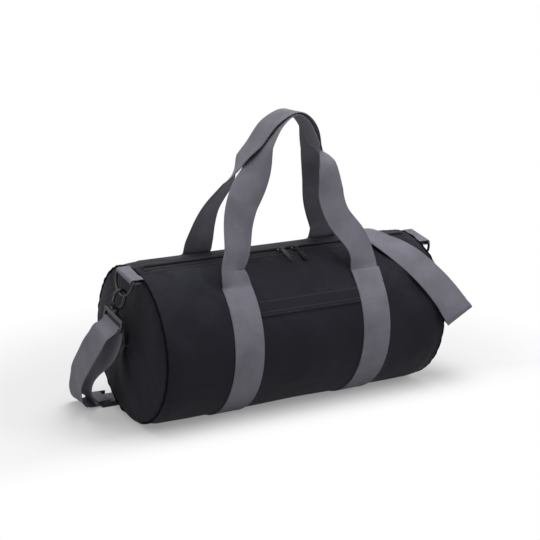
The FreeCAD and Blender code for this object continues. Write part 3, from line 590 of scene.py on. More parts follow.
def skin(x, deg, depth=0.0):
    """Points of the wrap, pressed flat where the bag stands."""
    p = polar(x, RADIUS + skin_drop(x, deg) - depth, deg)
    p[..., 2] = np.maximum(p[..., 2], 0.0004 + depth)
    return p


def skin_grid(x, deg):
    """Grid of lengths and angles, and its map coordinates in metres."""
    gx, gt = np.meshgrid(x, deg, indexing="ij")
    uv = np.stack([gx, np.radians(gt) * RADIUS], axis=-1)
    return gx, gt, uv


def make_wrap():
    gx, gt, uv = skin_grid(GRID_X, GRID_T)
    cx = (gx[1:, 1:] + gx[:-1, :-1]) / 2
    ct = (gt[1:, 1:] + gt[:-1, :-1]) / 2
    mouth = (cx > MOUTH[0]) & (cx < MOUTH[1]) & (ct > HINGE_ROUND)
    slot = (np.abs(cx) < ZIP_X) & (ct > ZIP_BACK)
    pocket = (np.abs(cx) < POCKET_X) & (np.abs(ct - POCKET_ZIP) < POCKET_SLOT_HALF * DEG)
    keep = ~(mouth | slot | pocket)
    made = shell("bag_wrap", skin(gx, gt), skin(gx, gt, CLOTH), uv, BLACK, LINING, keep)
    ride(made, "shell_fabric", "body_panel")


def make_flap(name, x0, x1):
    x = GRID_X[(GRID_X > x0 - 1e-9) & (GRID_X < x1 + 1e-9)]
    t = GRID_T[(GRID_T > HINGE_ROUND - 1e-9) & (GRID_T < ZIP_BACK + 1e-9)]
    gx, gt, uv = skin_grid(x, t)
    return shell(name, skin(gx, gt), skin(gx, gt, CLOTH), uv, BLACK, LINING)


make_wrap()
halves(make_flap, "mouth_flap_cloth", "shell_fabric", "mouth_flap")


# The two ends

DOME = 0.008
CROWN_R = 0.004
END_GATHERS = [(0.0003, 30, 33, 0.6), (0.00025, -20, 47, 2.1), (0.00025, 10, 24, 4.4)]
END_FOLDS = [(0.0009, 40, 2, 0.5), (0.0008, 25, 3, 2.0), (0.0006, 60, 5, 1.0)]
PIPING_R = 0.0015
PIPING_STOP = 164.5
PIPING_WAVES = [(0.0003, 0, 29, 1.0), (0.00025, 0, 41, 3.0)]
BINDING_ROWS = np.array([0.2401, 0.2415, 0.2435, 0.2455, 0.2475, 0.2485])
BINDING_DIP = 0.0042
BINDING_T = 0.0010
BINDING_LOW = 0.0040


def end_profile(rho, deg):
    """How far an end stands out at a distance from the axis, with gathers towards its seam."""
    ball = (RADIUS ** 2 + DOME ** 2) / (2 * DOME)
    rise = np.sqrt(ball ** 2 - rho ** 2) - (ball - DOME)
    t = np.radians(deg)
    edge = (RADIUS - SHOULDER) - rho
    gather = np.exp(-edge / 0.013) * wave(rho, t, END_GATHERS)
    broad = wave(rho, t, END_FOLDS) * smooth(edge / 0.02)
    return CLOTH + rise - 0.0040 * np.exp(-np.maximum(edge, 0) / 0.003) + gather + broad


def make_crown(name, outer, inner):
    """Middle of an end, inside its smallest rings of points."""
    verts, faces = [], []
    count = len(outer)
    for ring, flip in ((outer, True), (inner, False)):
        base = len(verts)
        verts += list(ring) + [ring.mean(axis=0)]
        for k in range(count):
            face = (base + k, base + (k + 1) % count, base + count)
            faces.append(face[::-1] if flip else face)
    crown = add_mesh(name + "_end_crown", verts, faces, BLACK, np.array(verts)[:, 1:])
    ride(crown, "shell_fabric")


def make_end(side, name):
    near_seam = np.linspace(0.1065, RADIUS - SHOULDER - 0.0004, 9)
    rho = np.concatenate([[CROWN_R], np.linspace(0.012, 0.104, 24), near_seam])
    gr, gt = np.meshgrid(rho, np.linspace(0, 360, 241), indexing="ij")
    x = END_X + end_profile(gr, gt)
    x = np.concatenate([x, x[-1:] - 0.0008, x[-1:] - 0.0050]) * side
    gr = np.concatenate([gr, gr[-1:] + 0.0002, gr[-1:] - 0.0006])
    gt = np.concatenate([gt, gt[-1:], gt[-1:]])
    outer = polar(x, gr, gt)
    inner = polar(x - side * CLOTH, gr - 0.0004, gt)
    for p in (outer, inner):
        p[..., 2] = np.maximum(p[..., 2], 0.0006)
    uv = np.stack([outer[..., 1], outer[..., 2]], axis=-1)
    if side > 0:
        outer, inner, uv = outer[:, ::-1], inner[:, ::-1], uv[:, ::-1]
    made = shell(name + "_end_cloth", outer, inner, uv, BLACK, LINING)
    ride(made, "shell_fabric", name + "_end_panel")
    make_crown(name, outer[0, :-1], inner[0, :-1])


def tube(name, path, radius, mat, sides=10):
    """Round piping along points, closed at both ends."""
    d = unit(np.gradient(path, axis=0))
    a = unit(np.cross(d, [1.0, 0.0, 0.0]))
    b = np.cross(d, a)
    angles = np.linspace(0, 2 * math.pi, sides, endpoint=False)
    around = np.cos(angles)[None, :, None] * a[:, None] + np.sin(angles)[None, :, None] * b[:, None]
    ring = path[:, None] + radius * around
    uv = np.stack(np.broadcast_arrays(distances(path)[:, None], angles[None] * radius), axis=-1)
    faces = capped_faces(0, len(path), sides)
    return add_mesh(name, ring.reshape(-1, 3), faces, mat, uv.reshape(-1, 2))


def make_piping(side, name):
    deg = np.linspace(-PIPING_STOP, PIPING_STOP, 420)
    t = np.radians(deg)
    rim = 0 * deg + side * (END_X - 0.0016)
    r = RADIUS + skin_drop(rim, np.where(deg < 0, deg + 360, deg)) - 0.0002
    x = side * (END_X + 0.0006 + wave(0 * t, t, PIPING_WAVES))
    # The cord's darker tone is painted shade in the seam's groove
    made = tube(name + "_piping_cord", polar(x, r, deg), PIPING_R, SEAM_SHADE)
    ride(made, "shell_fabric", name + "_end_piping")


def make_binding(side, name):
    x = side * BINDING_ROWS
    if side < 0:
        x = x[::-1]
    gx, gt, uv = skin_grid(x, np.linspace(0, 360, 241))
    dip = BINDING_DIP + 0.0002 * np.sin(np.radians(gt) * 61)
    outer = polar(gx, RADIUS - dip, gt)
    inner = polar(gx, RADIUS - dip - BINDING_T, gt)
    outer[..., 2] = np.maximum(outer[..., 2], BINDING_LOW)
    inner[..., 2] = np.maximum(inner[..., 2], BINDING_LOW + BINDING_T)
    made = shell(name + "_seam_tape", outer, inner, uv, BINDING)
    ride(made, "binding", name + "_end_binding")


for side, name in SIDES:
    make_end(side, name)
    make_piping(side, name)
    make_binding(side, name)


# The zips, with places across a zip measured from its middle line

ZIP_END = 0.2397
TAPE_OUT, TAPE_IN = 0.1232, 0.1224
TAPE_NEAR, TAPE_FAR = 0.0031, 0.0165
COIL_R = 0.1234
COIL_PITCH = 0.0026
COIL_HIGH, COIL_LONG = 0.00098, 0.00060
COIL_LOOP = [(-0.0010, 0.55), (-0.0004, 1.0), (0.0012, 0.92), (0.0029, 1.0), (0.0035, 0.6)]
CORD_AT = 0.0030
CORD_HIGH, CORD_WIDE = 0.0011, 0.0008
POCKET_TAPE_X = 0.085
POCKET_TAPE_FAR = 0.0145
POCKET_COIL_X = 0.0797
POCKET_COIL_SINK = 0.0012


def tape_sheet(name, side, deg, x0, x1, far=TAPE_FAR):
    """Woven tape on one side of a zip's middle line."""
    x = ticks(x0, x1, 0.004)
    v = side * np.linspace(TAPE_NEAR, far, 7)
    if side > 0:
        v = v[::-1]
    gx, gt, uv = skin_grid(x, deg + v * DEG)
    lift = 0.00012 * np.sin(gx * 700)
    outer = polar(gx, TAPE_OUT + lift, gt)
    inner = polar(gx, TAPE_IN + lift, gt)
    return shell(name, outer[:, ::-1], inner[:, ::-1], uv[:, ::-1], TAPE)


def coil_row(name, side, deg, x0, x1, sink=0.0):
    """One side of a zip's chain: a row of moulded loops that reach past the middle line, on a cord."""
    verts, faces, uv = [], [], []
    sides = 8
    angles = [2 * math.pi * s / sides for s in range(sides)]
    first = int(math.ceil((x0 + 0.0008) / COIL_PITCH - side / 4))
    last = int(math.floor((x1 - 0.0008) / COIL_PITCH - side / 4))
    mid = COIL_R - sink
    for k in range(first, last + 1):
        x = (k + side / 4) * COIL_PITCH
        base = len(verts)
        for v, size in COIL_LOOP:
            for a in angles:
                r = mid + COIL_HIGH * size * math.sin(a)
                verts.append(polar(x + COIL_LONG * size * math.cos(a), r, deg + side * v * DEG))
                uv.append((x, v))
        faces += capped_faces(base, len(COIL_LOOP), sides, side > 0)
    cord_x = ticks(x0, x1, 0.006)
    base = len(verts)
    for x in cord_x:
        for a in angles:
            v = CORD_AT + CORD_WIDE * math.cos(a)
            verts.append(polar(x, mid + CORD_HIGH * math.sin(a), deg + side * v * DEG))
            uv.append((x, CORD_AT))
    faces += tube_faces(base, len(cord_x), sides, side < 0)
    return add_mesh(name, verts, faces, COIL, uv)


ride(tape_sheet("front_tape_cloth", 1, ROLL, -ZIP_END, ZIP_END), "zip_tape", "zip_tape_front")
ride(coil_row("front_coil", 1, ROLL, -ZIP_END, ZIP_END), "zip_teeth", "zip_teeth_front")
halves(lambda n, a, b: tape_sheet(n, -1, ROLL, a, b), "back_tape_cloth", "zip_tape", "zip_tape_back")
halves(lambda n, a, b: coil_row(n, -1, ROLL, a, b), "back_coil", "zip_teeth", "zip_teeth_back")
for name, x0, x1 in (("left", -ZIP_END, MOUTH[0]), ("right", MOUTH[1], ZIP_END)):
    ride(tape_sheet(name + "_sewn_tape", -1, ROLL, x0, x1), "zip_tape", name + "_zip_end")
    ride(coil_row(name + "_sewn_coil", -1, ROLL, x0, x1), "zip_teeth")
for side, name in ((-1, "upper"), (1, "lower")):
    nodes = ("pocket_zip_tapes", "pocket_zip_teeth") if side < 0 else ()
    place = (side, POCKET_ZIP)
    made = tape_sheet("pocket_tape_" + name, *place, -POCKET_TAPE_X, POCKET_TAPE_X, POCKET_TAPE_FAR)
    ride(made, "zip_tape", *nodes[:1])
    made = coil_row("pocket_coil_" + name, *place, -POCKET_COIL_X, POCKET_COIL_X, POCKET_COIL_SINK)
    ride(made, "zip_teeth", *nodes[1:])


def row_on_skin(x, deg):
    """A row of points on the wrap and the outward directions there."""
    x, deg = np.broadcast_arrays(np.asarray(x, float), np.asarray(deg, float))
    p = skin(x, deg)
    n = p - np.stack([x, 0 * x, 0 * x + AXIS_Z], axis=-1)
    return p, n


def hem_row(x0, x1, deg):
    return row_on_skin(ticks(x0, x1, 0.003), deg)


hem_front = ZIP_FRONT + SEAM_ROW * DEG
hem_back = ZIP_BACK - SEAM_ROW * DEG
seam_rows = [hem_row(-SEAM_END, SEAM_END, hem_front), hem_row(-SEAM_END, MOUTH[0], hem_back),
             hem_row(MOUTH[1], SEAM_END, hem_back)]
ride(stitches("zip_seam_stitches", seam_rows, THREAD_BLACK, SEAM_PITCH), "shell_fabric")
halves(lambda n, a, b: stitches(n, [hem_row(a, b, hem_back)], THREAD_BLACK, SEAM_PITCH),
       "mouth_seam_stitches", "shell_fabric")


# The front pocket's strip and pouch

STRIP_X = 0.0897
STRIP_OUT, STRIP_IN = RADIUS + 0.0011, RADIUS + 0.0002
STRIP_BEND = 2.4
STRIP_FOLDS = [(0.00012, 95, 0.3, 0.5), (0.0001, 160, 0.5, 2.0)]
STRIP_EDGE = np.array([0.0032, 0.0024, 0.0016, 0.001, 0.0005, 0.0])
HEM_ROWS = (0.0030, 0.0075)
TOP_ROW = 0.0028
POUCH_X = 0.0815
POUCH_TOP, POUCH_BOTTOM = 72.6, 122.4
POUCH_OUT, POUCH_IN = 0.1224, 0.1212


def make_strip():
    x = ticks(-STRIP_X, STRIP_X, 0.004)
    deg = np.concatenate([np.linspace(POCKET_TOP, POCKET_TOP + 2, 6), np.linspace(58.5, 66.0, 9),
                          POCKET_BOTTOM - STRIP_EDGE * DEG])
    gx, gt, uv = skin_grid(x, deg)
    up = (gt - POCKET_TOP) / DEG
    low = (POCKET_BOTTOM - gt) / DEG
    lift = 0.00045 * smooth(up / 0.004) + 0.0004 * (1 - smooth((low - 0.005) / 0.002))
    lift = lift - 0.0007 * (1 - np.clip(low / 0.0014, 0, 1)) ** 2
    lift = lift - 0.0007 * (1 - np.clip(up / 0.0012, 0, 1)) ** 2
    outer = polar(gx, STRIP_OUT + lift + wave(gx, gt, STRIP_FOLDS), gt)
    made = shell("pocket_strip_cloth", outer, polar(gx, STRIP_IN, gt), uv, BLACK)
    hinge = polar(0, RADIUS, POCKET_TOP)
    bent = polar(0, RADIUS, POCKET_TOP + STRIP_BEND)
    bend(made, "pocket_strip", hinge, bent, "shell_fabric", "pocket_strip")
    out = outward(POCKET_BOTTOM)
    xs = ticks(-0.087, 0.087, 0.003)
    rows = [(polar(xs, RADIUS + 0.0016, POCKET_BOTTOM - row * DEG), out) for row in HEM_ROWS]
    ride(stitches("pocket_hem_stitches", rows, THREAD_BLACK, SEAM_PITCH), "shell_fabric", body="pocket_strip")
    rows = [(polar(xs, RADIUS + 0.0015, POCKET_TOP + TOP_ROW * DEG), out)]
    made = stitches("pocket_seam_stitches", rows, THREAD_BLACK, SEAM_PITCH)
    bend(made, "pocket_strip", hinge, bent, "shell_fabric")


def make_pouch():
    gx, gt, uv = skin_grid(ticks(-POUCH_X, POUCH_X, 0.005), np.linspace(POUCH_TOP, POUCH_BOTTOM, 31))
    puff = 0.0006 * np.sin(gx * 60) * np.sin(np.radians(gt) * 14)
    made = shell("pocket_pouch_cloth", polar(gx, POUCH_OUT, gt), polar(gx, POUCH_IN + puff, gt), uv, LINING)
    ride(made, "shell_fabric", "pocket_pouch")


make_strip()
make_pouch()


# Webbing bands round the barrel

# Sewn foot of a handle: degrees from its anchor, height off the barrel
SEWN_FOOT = [(5.0, 0.0008), (3.8, 0.0008), (2.6, 0.0008), (1.3, 0.0012)]
BAND_LOW = FRONT_ANCHOR + SEWN_FOOT[0][0]
BAND_HIGH = 360 + BACK_ANCHOR - SEWN_FOOT[0][0]
BAND_CROSS_ROWS = {-1: [48.5], 1: [66.0, 69.5]}

# Hem of the right band over the handle's foot: angle, height off the barrel
HEM_LINE = [(43.9, 0.0029), (44.6, 0.0031), (46.0, 0.0030), (48.0, 0.0025), (51.0, 0.0017), (54.0, 0.0009)]
HEM_W = 0.0515
HEM_ACROSS = np.array([1.0, 0.05, 0.06])
HEM_ROW = 46.2
HEM_TOP = 0.0037


def cross_row(x, r, deg):
    """A stitch row across a band."""
    return polar(x + np.linspace(-CROSS_ROW, CROSS_ROW, 20), r, deg), outward(deg)


def make_band(side, name):
    middle = side * BAND_X
    path = polar(middle, RADIUS + WEB_T / 2, np.linspace(BAND_LOW, BAND_HIGH, 260))
    path[:, 2] = np.maximum(path[:, 2], WEB_T / 2)
    along = unit(np.gradient(path, axis=0))
    wide = np.broadcast_to(np.array([1.0, 0, 0]), path.shape)
    made = strap(name + "_band_webbing", path, along, wide)
    ride(made, "webbing", name + "_band")
    rows = []
    deg = np.linspace(BAND_LOW + 0.5, BAND_HIGH - 0.5, 240)
    for shift in (-EDGE_ROW, EDGE_ROW):
        line = polar(middle + shift, RADIUS + WEB_T, deg)
        high = line[:, 2] > 0.0015
        for part in (deg < 178, deg > 182):
            pick = high & part
            rows.append((line[pick], line[pick] - np.array([middle + shift, 0, AXIS_Z])))
    rows += [cross_row(middle, RADIUS + WEB_T, row) for row in BAND_CROSS_ROWS[side]]
    ride(stitches(name + "_band_stitches", rows, THREAD_GREY), "webbing")


def make_band_hem():
    path = [polar(BAND_X, RADIUS + lift, deg) for deg, lift in HEM_LINE]
    c, d, w = sections(path, [HEM_ACROSS] * len(path), pitch=0.0015)
    ride(strap("right_band_hem", c, d, w, HEM_W), "webbing")
    rows = [cross_row(BAND_X, RADIUS + HEM_TOP, HEM_ROW)]
    ride(stitches("right_band_hem_stitches", rows, THREAD_GREY), "webbing")


for side, name in SIDES:
    make_band(side, name)
make_band_hem()


# Carry handles

FOOT_R = 0.1280
FOOT_BEND = (0.003, 0.020)
FOOT_CURL = {-1: -0.22, 1: 0.10}
FOOT_SWAY = {-1: 0.005, 1: 0.002}
FOOT_SHARE = 0.08
HANDLE_TOP_Y = -0.051
FRONT_TOP_Z, BACK_TOP_Z = 0.460, 0.470
FRONT_TUCK, BACK_TUCK = 0.0032, -0.0030

# Half of each handle from anchor to top: rise, spread, sway to the left, twist, twist moved between the legs
FRONT_SHARES = [(0.035, 1, 0, 0, 0), (0.08, 0.998, 0, 0, 0.02), (0.17, 0.945, 0.03, 0, 0.15),
                (0.33, 0.785, 0.13, 0.04, 0.08), (0.5, 0.665, 0.145, 0.14, 0),
                (0.66, 0.51, 0.08, 0.64, 0), (0.8, 0.385, 0.055, 0.98, -0.04),
                (0.91, 0.255, 0.03, 1, -0.05), (0.975, 0.13, 0.01, 1, -0.03), (1, 0, 0, 1, 0)]
BACK_SHARES = [(0.035, 1, 0, 0, 0), (0.08, 0.998, 0, 0.02, 0), (0.17, 0.955, 0.03, 0.14, 0),
               (0.33, 0.846, 0.067, 0.3, 0), (0.5, 0.713, 0.017, 0.45, 0),
               (0.66, 0.622, 0.026, 0.84, 0), (0.8, 0.452, 0.017, 0.98, 0),
               (0.91, 0.302, 0.0065, 1, 0), (0.975, 0.15, 0.002, 1, 0), (1, 0, 0, 1, 0)]

# How each leg lies against its neighbour, by rise: shift to the right, shift back, change of twist
NESTED_AT = (0.4, 0.5, 0.66, 0.8, 0.91)
NESTED = {
    (True, -1): [(0, 0, 0), (0, 0, 0), (-0.001, 0, 0), (0, 0, 0), (0, 0, 0)],
    (True, 1): [(0, 0, 0), (0.003, 0, -0.08), (0.007, -0.004, -0.38), (0, 0, -0.02), (0, 0, 0)],
    (False, -1): [(0, 0, 0), (0.001, 0, 0), (0.003, 0, 0.03), (0.003, 0, 0), (0, 0, 0)],
    (False, 1): [(0, 0, 0), (-0.001, 0.002, 0), (-0.004, 0.008, 0.04), (0, 0.005, 0), (0, 0, 0)],
}


def edge_rows(c, d, w):
    """Stitch rows along both selvedges, on both faces of a strap."""
    deep = np.cross(d, w)
    places = [(shift, face) for shift in (-EDGE_ROW, EDGE_ROW) for face in (-1, 1)]
    return [(c + w * shift + deep * face * WEB_T / 2, deep * face) for shift, face in places]


def handle_line(front, foot, rise, facing):
    """Points and widths of a handle's webbing from its left anchor over its top to its right anchor."""
    rows = FRONT_SHARES if front else BACK_SHARES
    tuck = FRONT_TUCK if front else BACK_TUCK
    legs = [(-1, row) for row in rows] + [(1, row) for row in rows[-2::-1]]
    points, turns = [], []
    for side, (rise_share, spread, sway, twist, shift) in legs:
        high = float(smooth((rise_share - 0.58) / 0.25))
        close = np.array([0, 0, tuck * high])
        columns = zip(*NESTED[(front, side)])
        close[0], close[1], curl = (np.interp(rise_share, NESTED_AT, column) for column in columns)
        if front:
            bent = max(0.0, 1 - abs(rise_share - FOOT_SHARE) / FOOT_SHARE)
            curl += FOOT_CURL[side] * bent
            close[0] -= FOOT_SWAY[side] * bent
        points.append(foot + rise * rise_share + np.array([BAND_X * (side * spread - sway), 0, 0]) + close)
        turns.append((twist + side * shift + curl) * math.pi / 2)
    at = spline(points)[0]
    hints = []
    for i, turn in enumerate(turns):
        d = at(min(i, len(points) - 2), 0.0 if i < len(points) - 1 else 1.0)[1]
        hints.append(np.cross(d, facing) * math.cos(turn) - np.array([0, 1.0, 0]) * math.sin(turn))
    return points, hints


def make_handle(front):
    name = "front_handle" if front else "back_handle"
    anchor = FRONT_ANCHOR if front else BACK_ANCHOR
    lean = 1 if front else -1
    foot = polar(0, FOOT_R, anchor)
    rise = np.array([0, HANDLE_TOP_Y, FRONT_TOP_Z if front else BACK_TOP_Z]) - foot
    up = unit(rise)
    points, hints = handle_line(front, foot, rise, unit(np.cross([1.0, 0, 0], up)) * lean)
    for side in (-1, 1):
        sewn = [polar(side * BAND_X, RADIUS + lift, anchor + lean * step) for step, lift in SEWN_FOOT]
        flat = [np.array([-1.0 * side * lean, 0, 0])] * len(sewn)
        if side < 0:
            points, hints = sewn + points, flat + hints
        else:
            points, hints = points + sewn[::-1], hints + flat
    c, d, w = sections(points, hints)
    bent = (foot - up * FOOT_BEND[0], foot + up * FOOT_BEND[1])
    bend(strap(name + "_webbing", c, d, w), name, *bent, "webbing", name)
    bend(stitches(name + "_stitches", edge_rows(c, d, w), THREAD_GREY), name, *bent, "webbing")


make_handle(True)
make_handle(False)


# Tabs that hold the rings at the ends

TAB_LINE = AXIS_Z + 0.1175
TAB_X = 0.268
TAB_R = 0.0032
TAB_START, TAB_STOP = 0.2508, 0.2535
TAB_HUMP, TAB_FLAT = 0.256, 0.262
TAB_ROWS = (0.2565, 0.2600)
TAB_PITCH = 0.0034
LEVEL = roll([0, -1.0, AXIS_Z]) - np.array([0, 0, AXIS_Z])
UPRIGHT = roll([0, 0, AXIS_Z + 1.0]) - np.array([0, 0, AXIS_Z])


def make_tab(side, name):
    upper, lower = TAB_LINE + TAB_R, TAB_LINE - TAB_R
    path = [(TAB_START, 0, upper), (TAB_HUMP, 0, upper + 0.0002), (TAB_FLAT, 0, upper), (TAB_X, 0, upper)]
    for turn in np.radians([60, 30, 0, -30, -60]):
        path.append((TAB_X + TAB_R * math.cos(turn), 0, TAB_LINE + TAB_R * math.sin(turn)))
    path += [(TAB_X, 0, lower), (TAB_FLAT, 0, lower), (TAB_STOP, 0, lower)]
    path = roll(path) * np.array([side, 1, 1])
    c, d, w = sections(path, [LEVEL] * len(path), pitch=0.0015)
    made = strap(name + "_tab_webbing", c, d, w)
    ride(made, "webbing", name + "_ring_tab")
    rows = []
    for x in TAB_ROWS:
        line = [(side * x, y, upper + 0.0009) for y in np.linspace(-CROSS_ROW, CROSS_ROW, 24)]
        rows.append((roll(line), UPRIGHT))
    ride(stitches(name + "_tab_stitches", rows, THREAD_GREY, TAB_PITCH), "webbing")


for side, name in SIDES:
    make_tab(side, name)


# The shoulder strap

RING_LEAN = 12.0
EYE_BAR = np.array([TAB_X, 0, TAB_LINE - 0.0771])
EYE_WRAP_R = 0.0031
EYE_END = 0.022
STRAP_LOW = 0.0016


def leaned(points):
    """Ring and hook points drawn hanging straight down, leaned outwards and rolled with the bag."""
    p = np.asarray(points, float) - np.array([TAB_X, 0, TAB_LINE])
    t = math.radians(RING_LEAN)
    q = np.stack([p[..., 0] * math.cos(t) - p[..., 2] * math.sin(t), p[..., 1],
                  p[..., 0] * math.sin(t) + p[..., 2] * math.cos(t)], axis=-1)
    return roll(q + np.array([TAB_X, 0, TAB_LINE]))


def eye_wrap(side):
    """Webbing's line round the bar of a hook's eye."""
    turns = np.radians(-10 + 45.0 * np.arange(5))
    ring = EYE_BAR + EYE_WRAP_R * np.stack([np.cos(turns), 0 * turns, np.sin(turns)], axis=1)
    return list(leaned(ring) * np.array([side, 1, 1]))


def shares(table, side=0):
    """Points and widths of a strap's run beside the barrel, or past one of its ends."""
    points = []
    for (a, b, c), _ in table:
        x = side * (END_X + a * RADIUS) if side else a * END_X
        points.append(np.array([x, b * RADIUS, max(c * RADIUS, STRAP_LOW)]))
    return points, [np.array(hint, float) for _, hint in table]


def rolled_shares(table, standoff, rim=False):
    """Points and widths of a strap's run round the barrel, at a distance from its cloth."""
    r = RADIUS + standoff + WEB_T / 2
    points = [polar(END_X + a * RADIUS if rim else a * END_X, r, deg) for a, deg, _ in table]
    return points, [np.array(hint, float) for _, _, hint in table]


FLOOR_ROUTE = [((-0.56, 0.925, 0), (0, 1, 0)), ((-0.32, 0.97, 0), (0, 1, 0)),
               ((-0.08, 1.05, 0), (0, 1, 0)), ((0.16, 1.11, 0), (0, 1, 0)),
               ((0.34, 1.14, 0.07), (-0.1, 1, 0.1)), ((0.49, 1.15, 0.27), (-0.5, 0.7, 0.45)),
               ((0.59, 1.12, 0.58), (-0.9, 0.35, 0.5))]
BARREL_ROUTE = [(0.665, -90, (-1, 0, 0.25)), (0.69, -70, (-1, 0, 0)),
                (0.69, -45, (-1, 0, 0)), (0.688, -18, (-1, 0, 0)), (0.688, 3, (-1, -0.1, 0)),
                (0.712, 18, (-0.9, -0.35, -0.1)), (0.81, 39, (-0.84, -0.33, -0.42))]
RIM_ROUTE = [(-0.142, 61, (-0.83, -0.2, -0.5)), (0.040, 76, (-0.82, -0.05, -0.53))]
FOLD_ROUTE = [((0.125, -1.10, 1.066), (-0.85, 0.16, -0.46))]
TAIL_ROUTE = [((0.155, -1.093, 1.024), (-0.85, 0.16, -0.46)), ((0.196, -1.044, 1.018), (-0.66, 0.15, -0.70)),
              ((0.223, -0.908, 1.040), (-0.5, 0.1, -0.85)), ((0.279, -0.717, 1.044), (-0.4, 0.05, -0.9)),
              ((0.331, -0.494, 1.000), (-0.75, 0, -0.65)), ((0.375, -0.303, 0.936), (-0.97, 0, -0.2)),
              ((0.390, -0.163, 0.948), (-0.88, -0.4, 0.2)), ((0.371, -0.096, 1.036), (-0.45, -0.88, 0.05)),
              ((0.323, -0.070, 1.171), (-0.1, -0.98, -0.15))]
OUTER_ROUTE = [((0.245, 0.8924, 0.0255), (0, 1, 0)), ((0.311, 0.889, 0.052), (0, 1, 0)),
               ((0.367, 0.860, 0.127), (0.05, 1, -0.05)), ((0.410, 0.793, 0.239), (0.1, 0.97, -0.1)),
               ((0.446, 0.701, 0.366), (0.15, 0.95, -0.1)), ((0.482, 0.582, 0.502), (0.15, 0.97, -0.1)),
               ((0.507, 0.414, 0.661), (0.1, 0.98, 0)), ((0.508, 0.250, 0.830), (0.05, 0.98, 0.1)),
               ((0.490, 0.120, 0.980), (0, 0.978, 0.208)), ((0.450, 0.020, 1.120), (0, 0.978, 0.208)),
               ((0.395, -0.045, 1.230), (0, 0.978, 0.208))]
INNER_ROUTE = [((0.256, -0.032, 1.100), (0, 0.978, 0.208)), ((0.289, 0.080, 0.931), (0, 0.98, 0.15)),
               ((0.321, 0.239, 0.793), (0.05, 0.98, 0.1)), ((0.349, 0.414, 0.635), (0.1, 0.98, 0)),
               ((0.343, 0.598, 0.454), (0.1, 0.98, -0.1)), ((0.305, 0.733, 0.310), (0.1, 0.98, -0.1)),
               ((0.250, 0.830, 0.185), (0, 1, 0))]
RUN_X = (-0.276, -0.184)
RUN_Z = 0.0031
BARREL_GAP, RIM_GAP = 0.0029, 0.0045
SPLIT = 0.0001
GLIDE = np.array([-0.250, 0.112, 0.0076])
GLIDE_R = 0.0023
GLIDE_LEAD, GLIDE_END = 0.028, 0.022
FLAT = np.array([0, 1.0, 0])
TAIL_BEND = ((0.28, 0.024, 0.032), (0.28, 0.0558, 0.0744))
LOOP_BEND = (0.04, 0.0827)


def make_run():
    """The strap from the floor over the barrel to its fold. Gives the fold's place and direction."""
    points = [np.array([x, GLIDE[1], RUN_Z]) for x in np.linspace(*RUN_X, 4)]
    hints = [FLAT] * len(points)
    for more, more_hints in (shares(FLOOR_ROUTE), rolled_shares(BARREL_ROUTE, BARREL_GAP),
                             rolled_shares(RIM_ROUTE, RIM_GAP, True), shares(FOLD_ROUTE, 1)):
        points = points + more
        hints = hints + more_hints
    fold = unit(points[-1] - points[-2])
    c, d, w = sections(points, hints, (1, 0, 0), fold)
    ride(strap("strap_webbing", c, d, w), "webbing", "shoulder_strap")
    return points[-1], fold


def make_tail(tip, fold):
    """The strap's right end, from its fold round the eye of the hook there."""
    tail, tail_hints = shares(TAIL_ROUTE, 1)
    wrap = eye_wrap(1)
    down = leaned(EYE_BAR - np.array([0, 0, EYE_END])) - leaned(EYE_BAR)
    points = [tip + fold * SPLIT] + tail + wrap + [wrap[-1] + down]
    hints = [np.array(FOLD_ROUTE[0][1], float)] + tail_hints + [LEVEL] * (len(wrap) + 1)
    c, d, w = sections(points, hints, fold, down, 0.003)
    made = strap("strap_tail_webbing", c, d, w)
    bend(made, "right_ring", *TAIL_BEND, "webbing", "strap_tail")


def make_loop():
    """The strap's left end, round the eye of the hook there and back round the adjuster's bar."""
    outer, outer_hints = shares(OUTER_ROUTE, -1)
    inner, inner_hints = shares(INNER_ROUTE, -1)
    wrap = eye_wrap(-1)
    lead = [GLIDE + np.array([-GLIDE_LEAD * s, 0, GLIDE_R]) for s in (0.8, 0.5, 0.25, 0.06)]
    turns = np.radians(90 - 45 * np.arange(5))
    around = [GLIDE + GLIDE_R * np.array([math.cos(t), 0, math.sin(t)]) for t in turns]
    end = [GLIDE + np.array([-GLIDE_END * s, 0, -GLIDE_R]) for s in (0.06, 0.2, 0.5, 1.0)]
    points = [np.array([RUN_X[0] - SPLIT, GLIDE[1], RUN_Z])] + outer + wrap + inner + lead + around + end
    hints = [FLAT] + outer_hints + [outer_hints[-1]] * len(wrap) + inner_hints
    hints = hints + [FLAT] * (len(points) - len(hints))
    c, d, w = sections(points, hints, (-1, 0, 0), (-1, 0, 0), 0.0025)
    cut = int(np.argmin(np.linalg.norm(c - inner[3], axis=1)))
    upper = strap("strap_loop_webbing", c[:cut + 1], d[:cut + 1], w[:cut + 1])
    bar = leaned(EYE_BAR) * np.array([-1, 1, 1])
    bend(upper, "left_ring", (bar[0], *LOOP_BEND), (bar[0], bar[1], bar[2] - 0.012),
         "webbing", "adjuster_loop")
    lower = strap("strap_return_webbing", c[cut:], d[cut:], w[cut:])
    bend(lower, "adjuster", c[cut], GLIDE + np.array([-0.018, 0, 0]), "webbing")


make_tail(*make_run())
make_loop()


# Carried-over hard pieces

def finish_node(name, mat, bevel):
    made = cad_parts[name]
    made.data.materials.clear()
    made.data.materials.append(mat)
    edge = made.modifiers.new("edges", "BEVEL")
    edge.width = bevel
    edge.segments = 2
    edge.limit_method = "ANGLE"
    edge.angle_limit = math.radians(40)


for name in ("left_slider", "right_slider", "pocket_slider"):
    finish_node(name, LACQUER, 0.0003)
for name in ("left_pull", "right_pull", "pocket_pull"):
    finish_node(name, PULL, 0.0003)
for side in ("left", "right"):
    for name in ("d_ring", "hook_body", "hook_gate", "swivel_eye"):
        finish_node(side + "_" + name, LACQUER, 0.0004)
    finish_node(side + "_gate_pin", STEEL, 0.0001)
finish_node("tri_glide", PLASTIC, 0.0005)


# Floor, light and camera

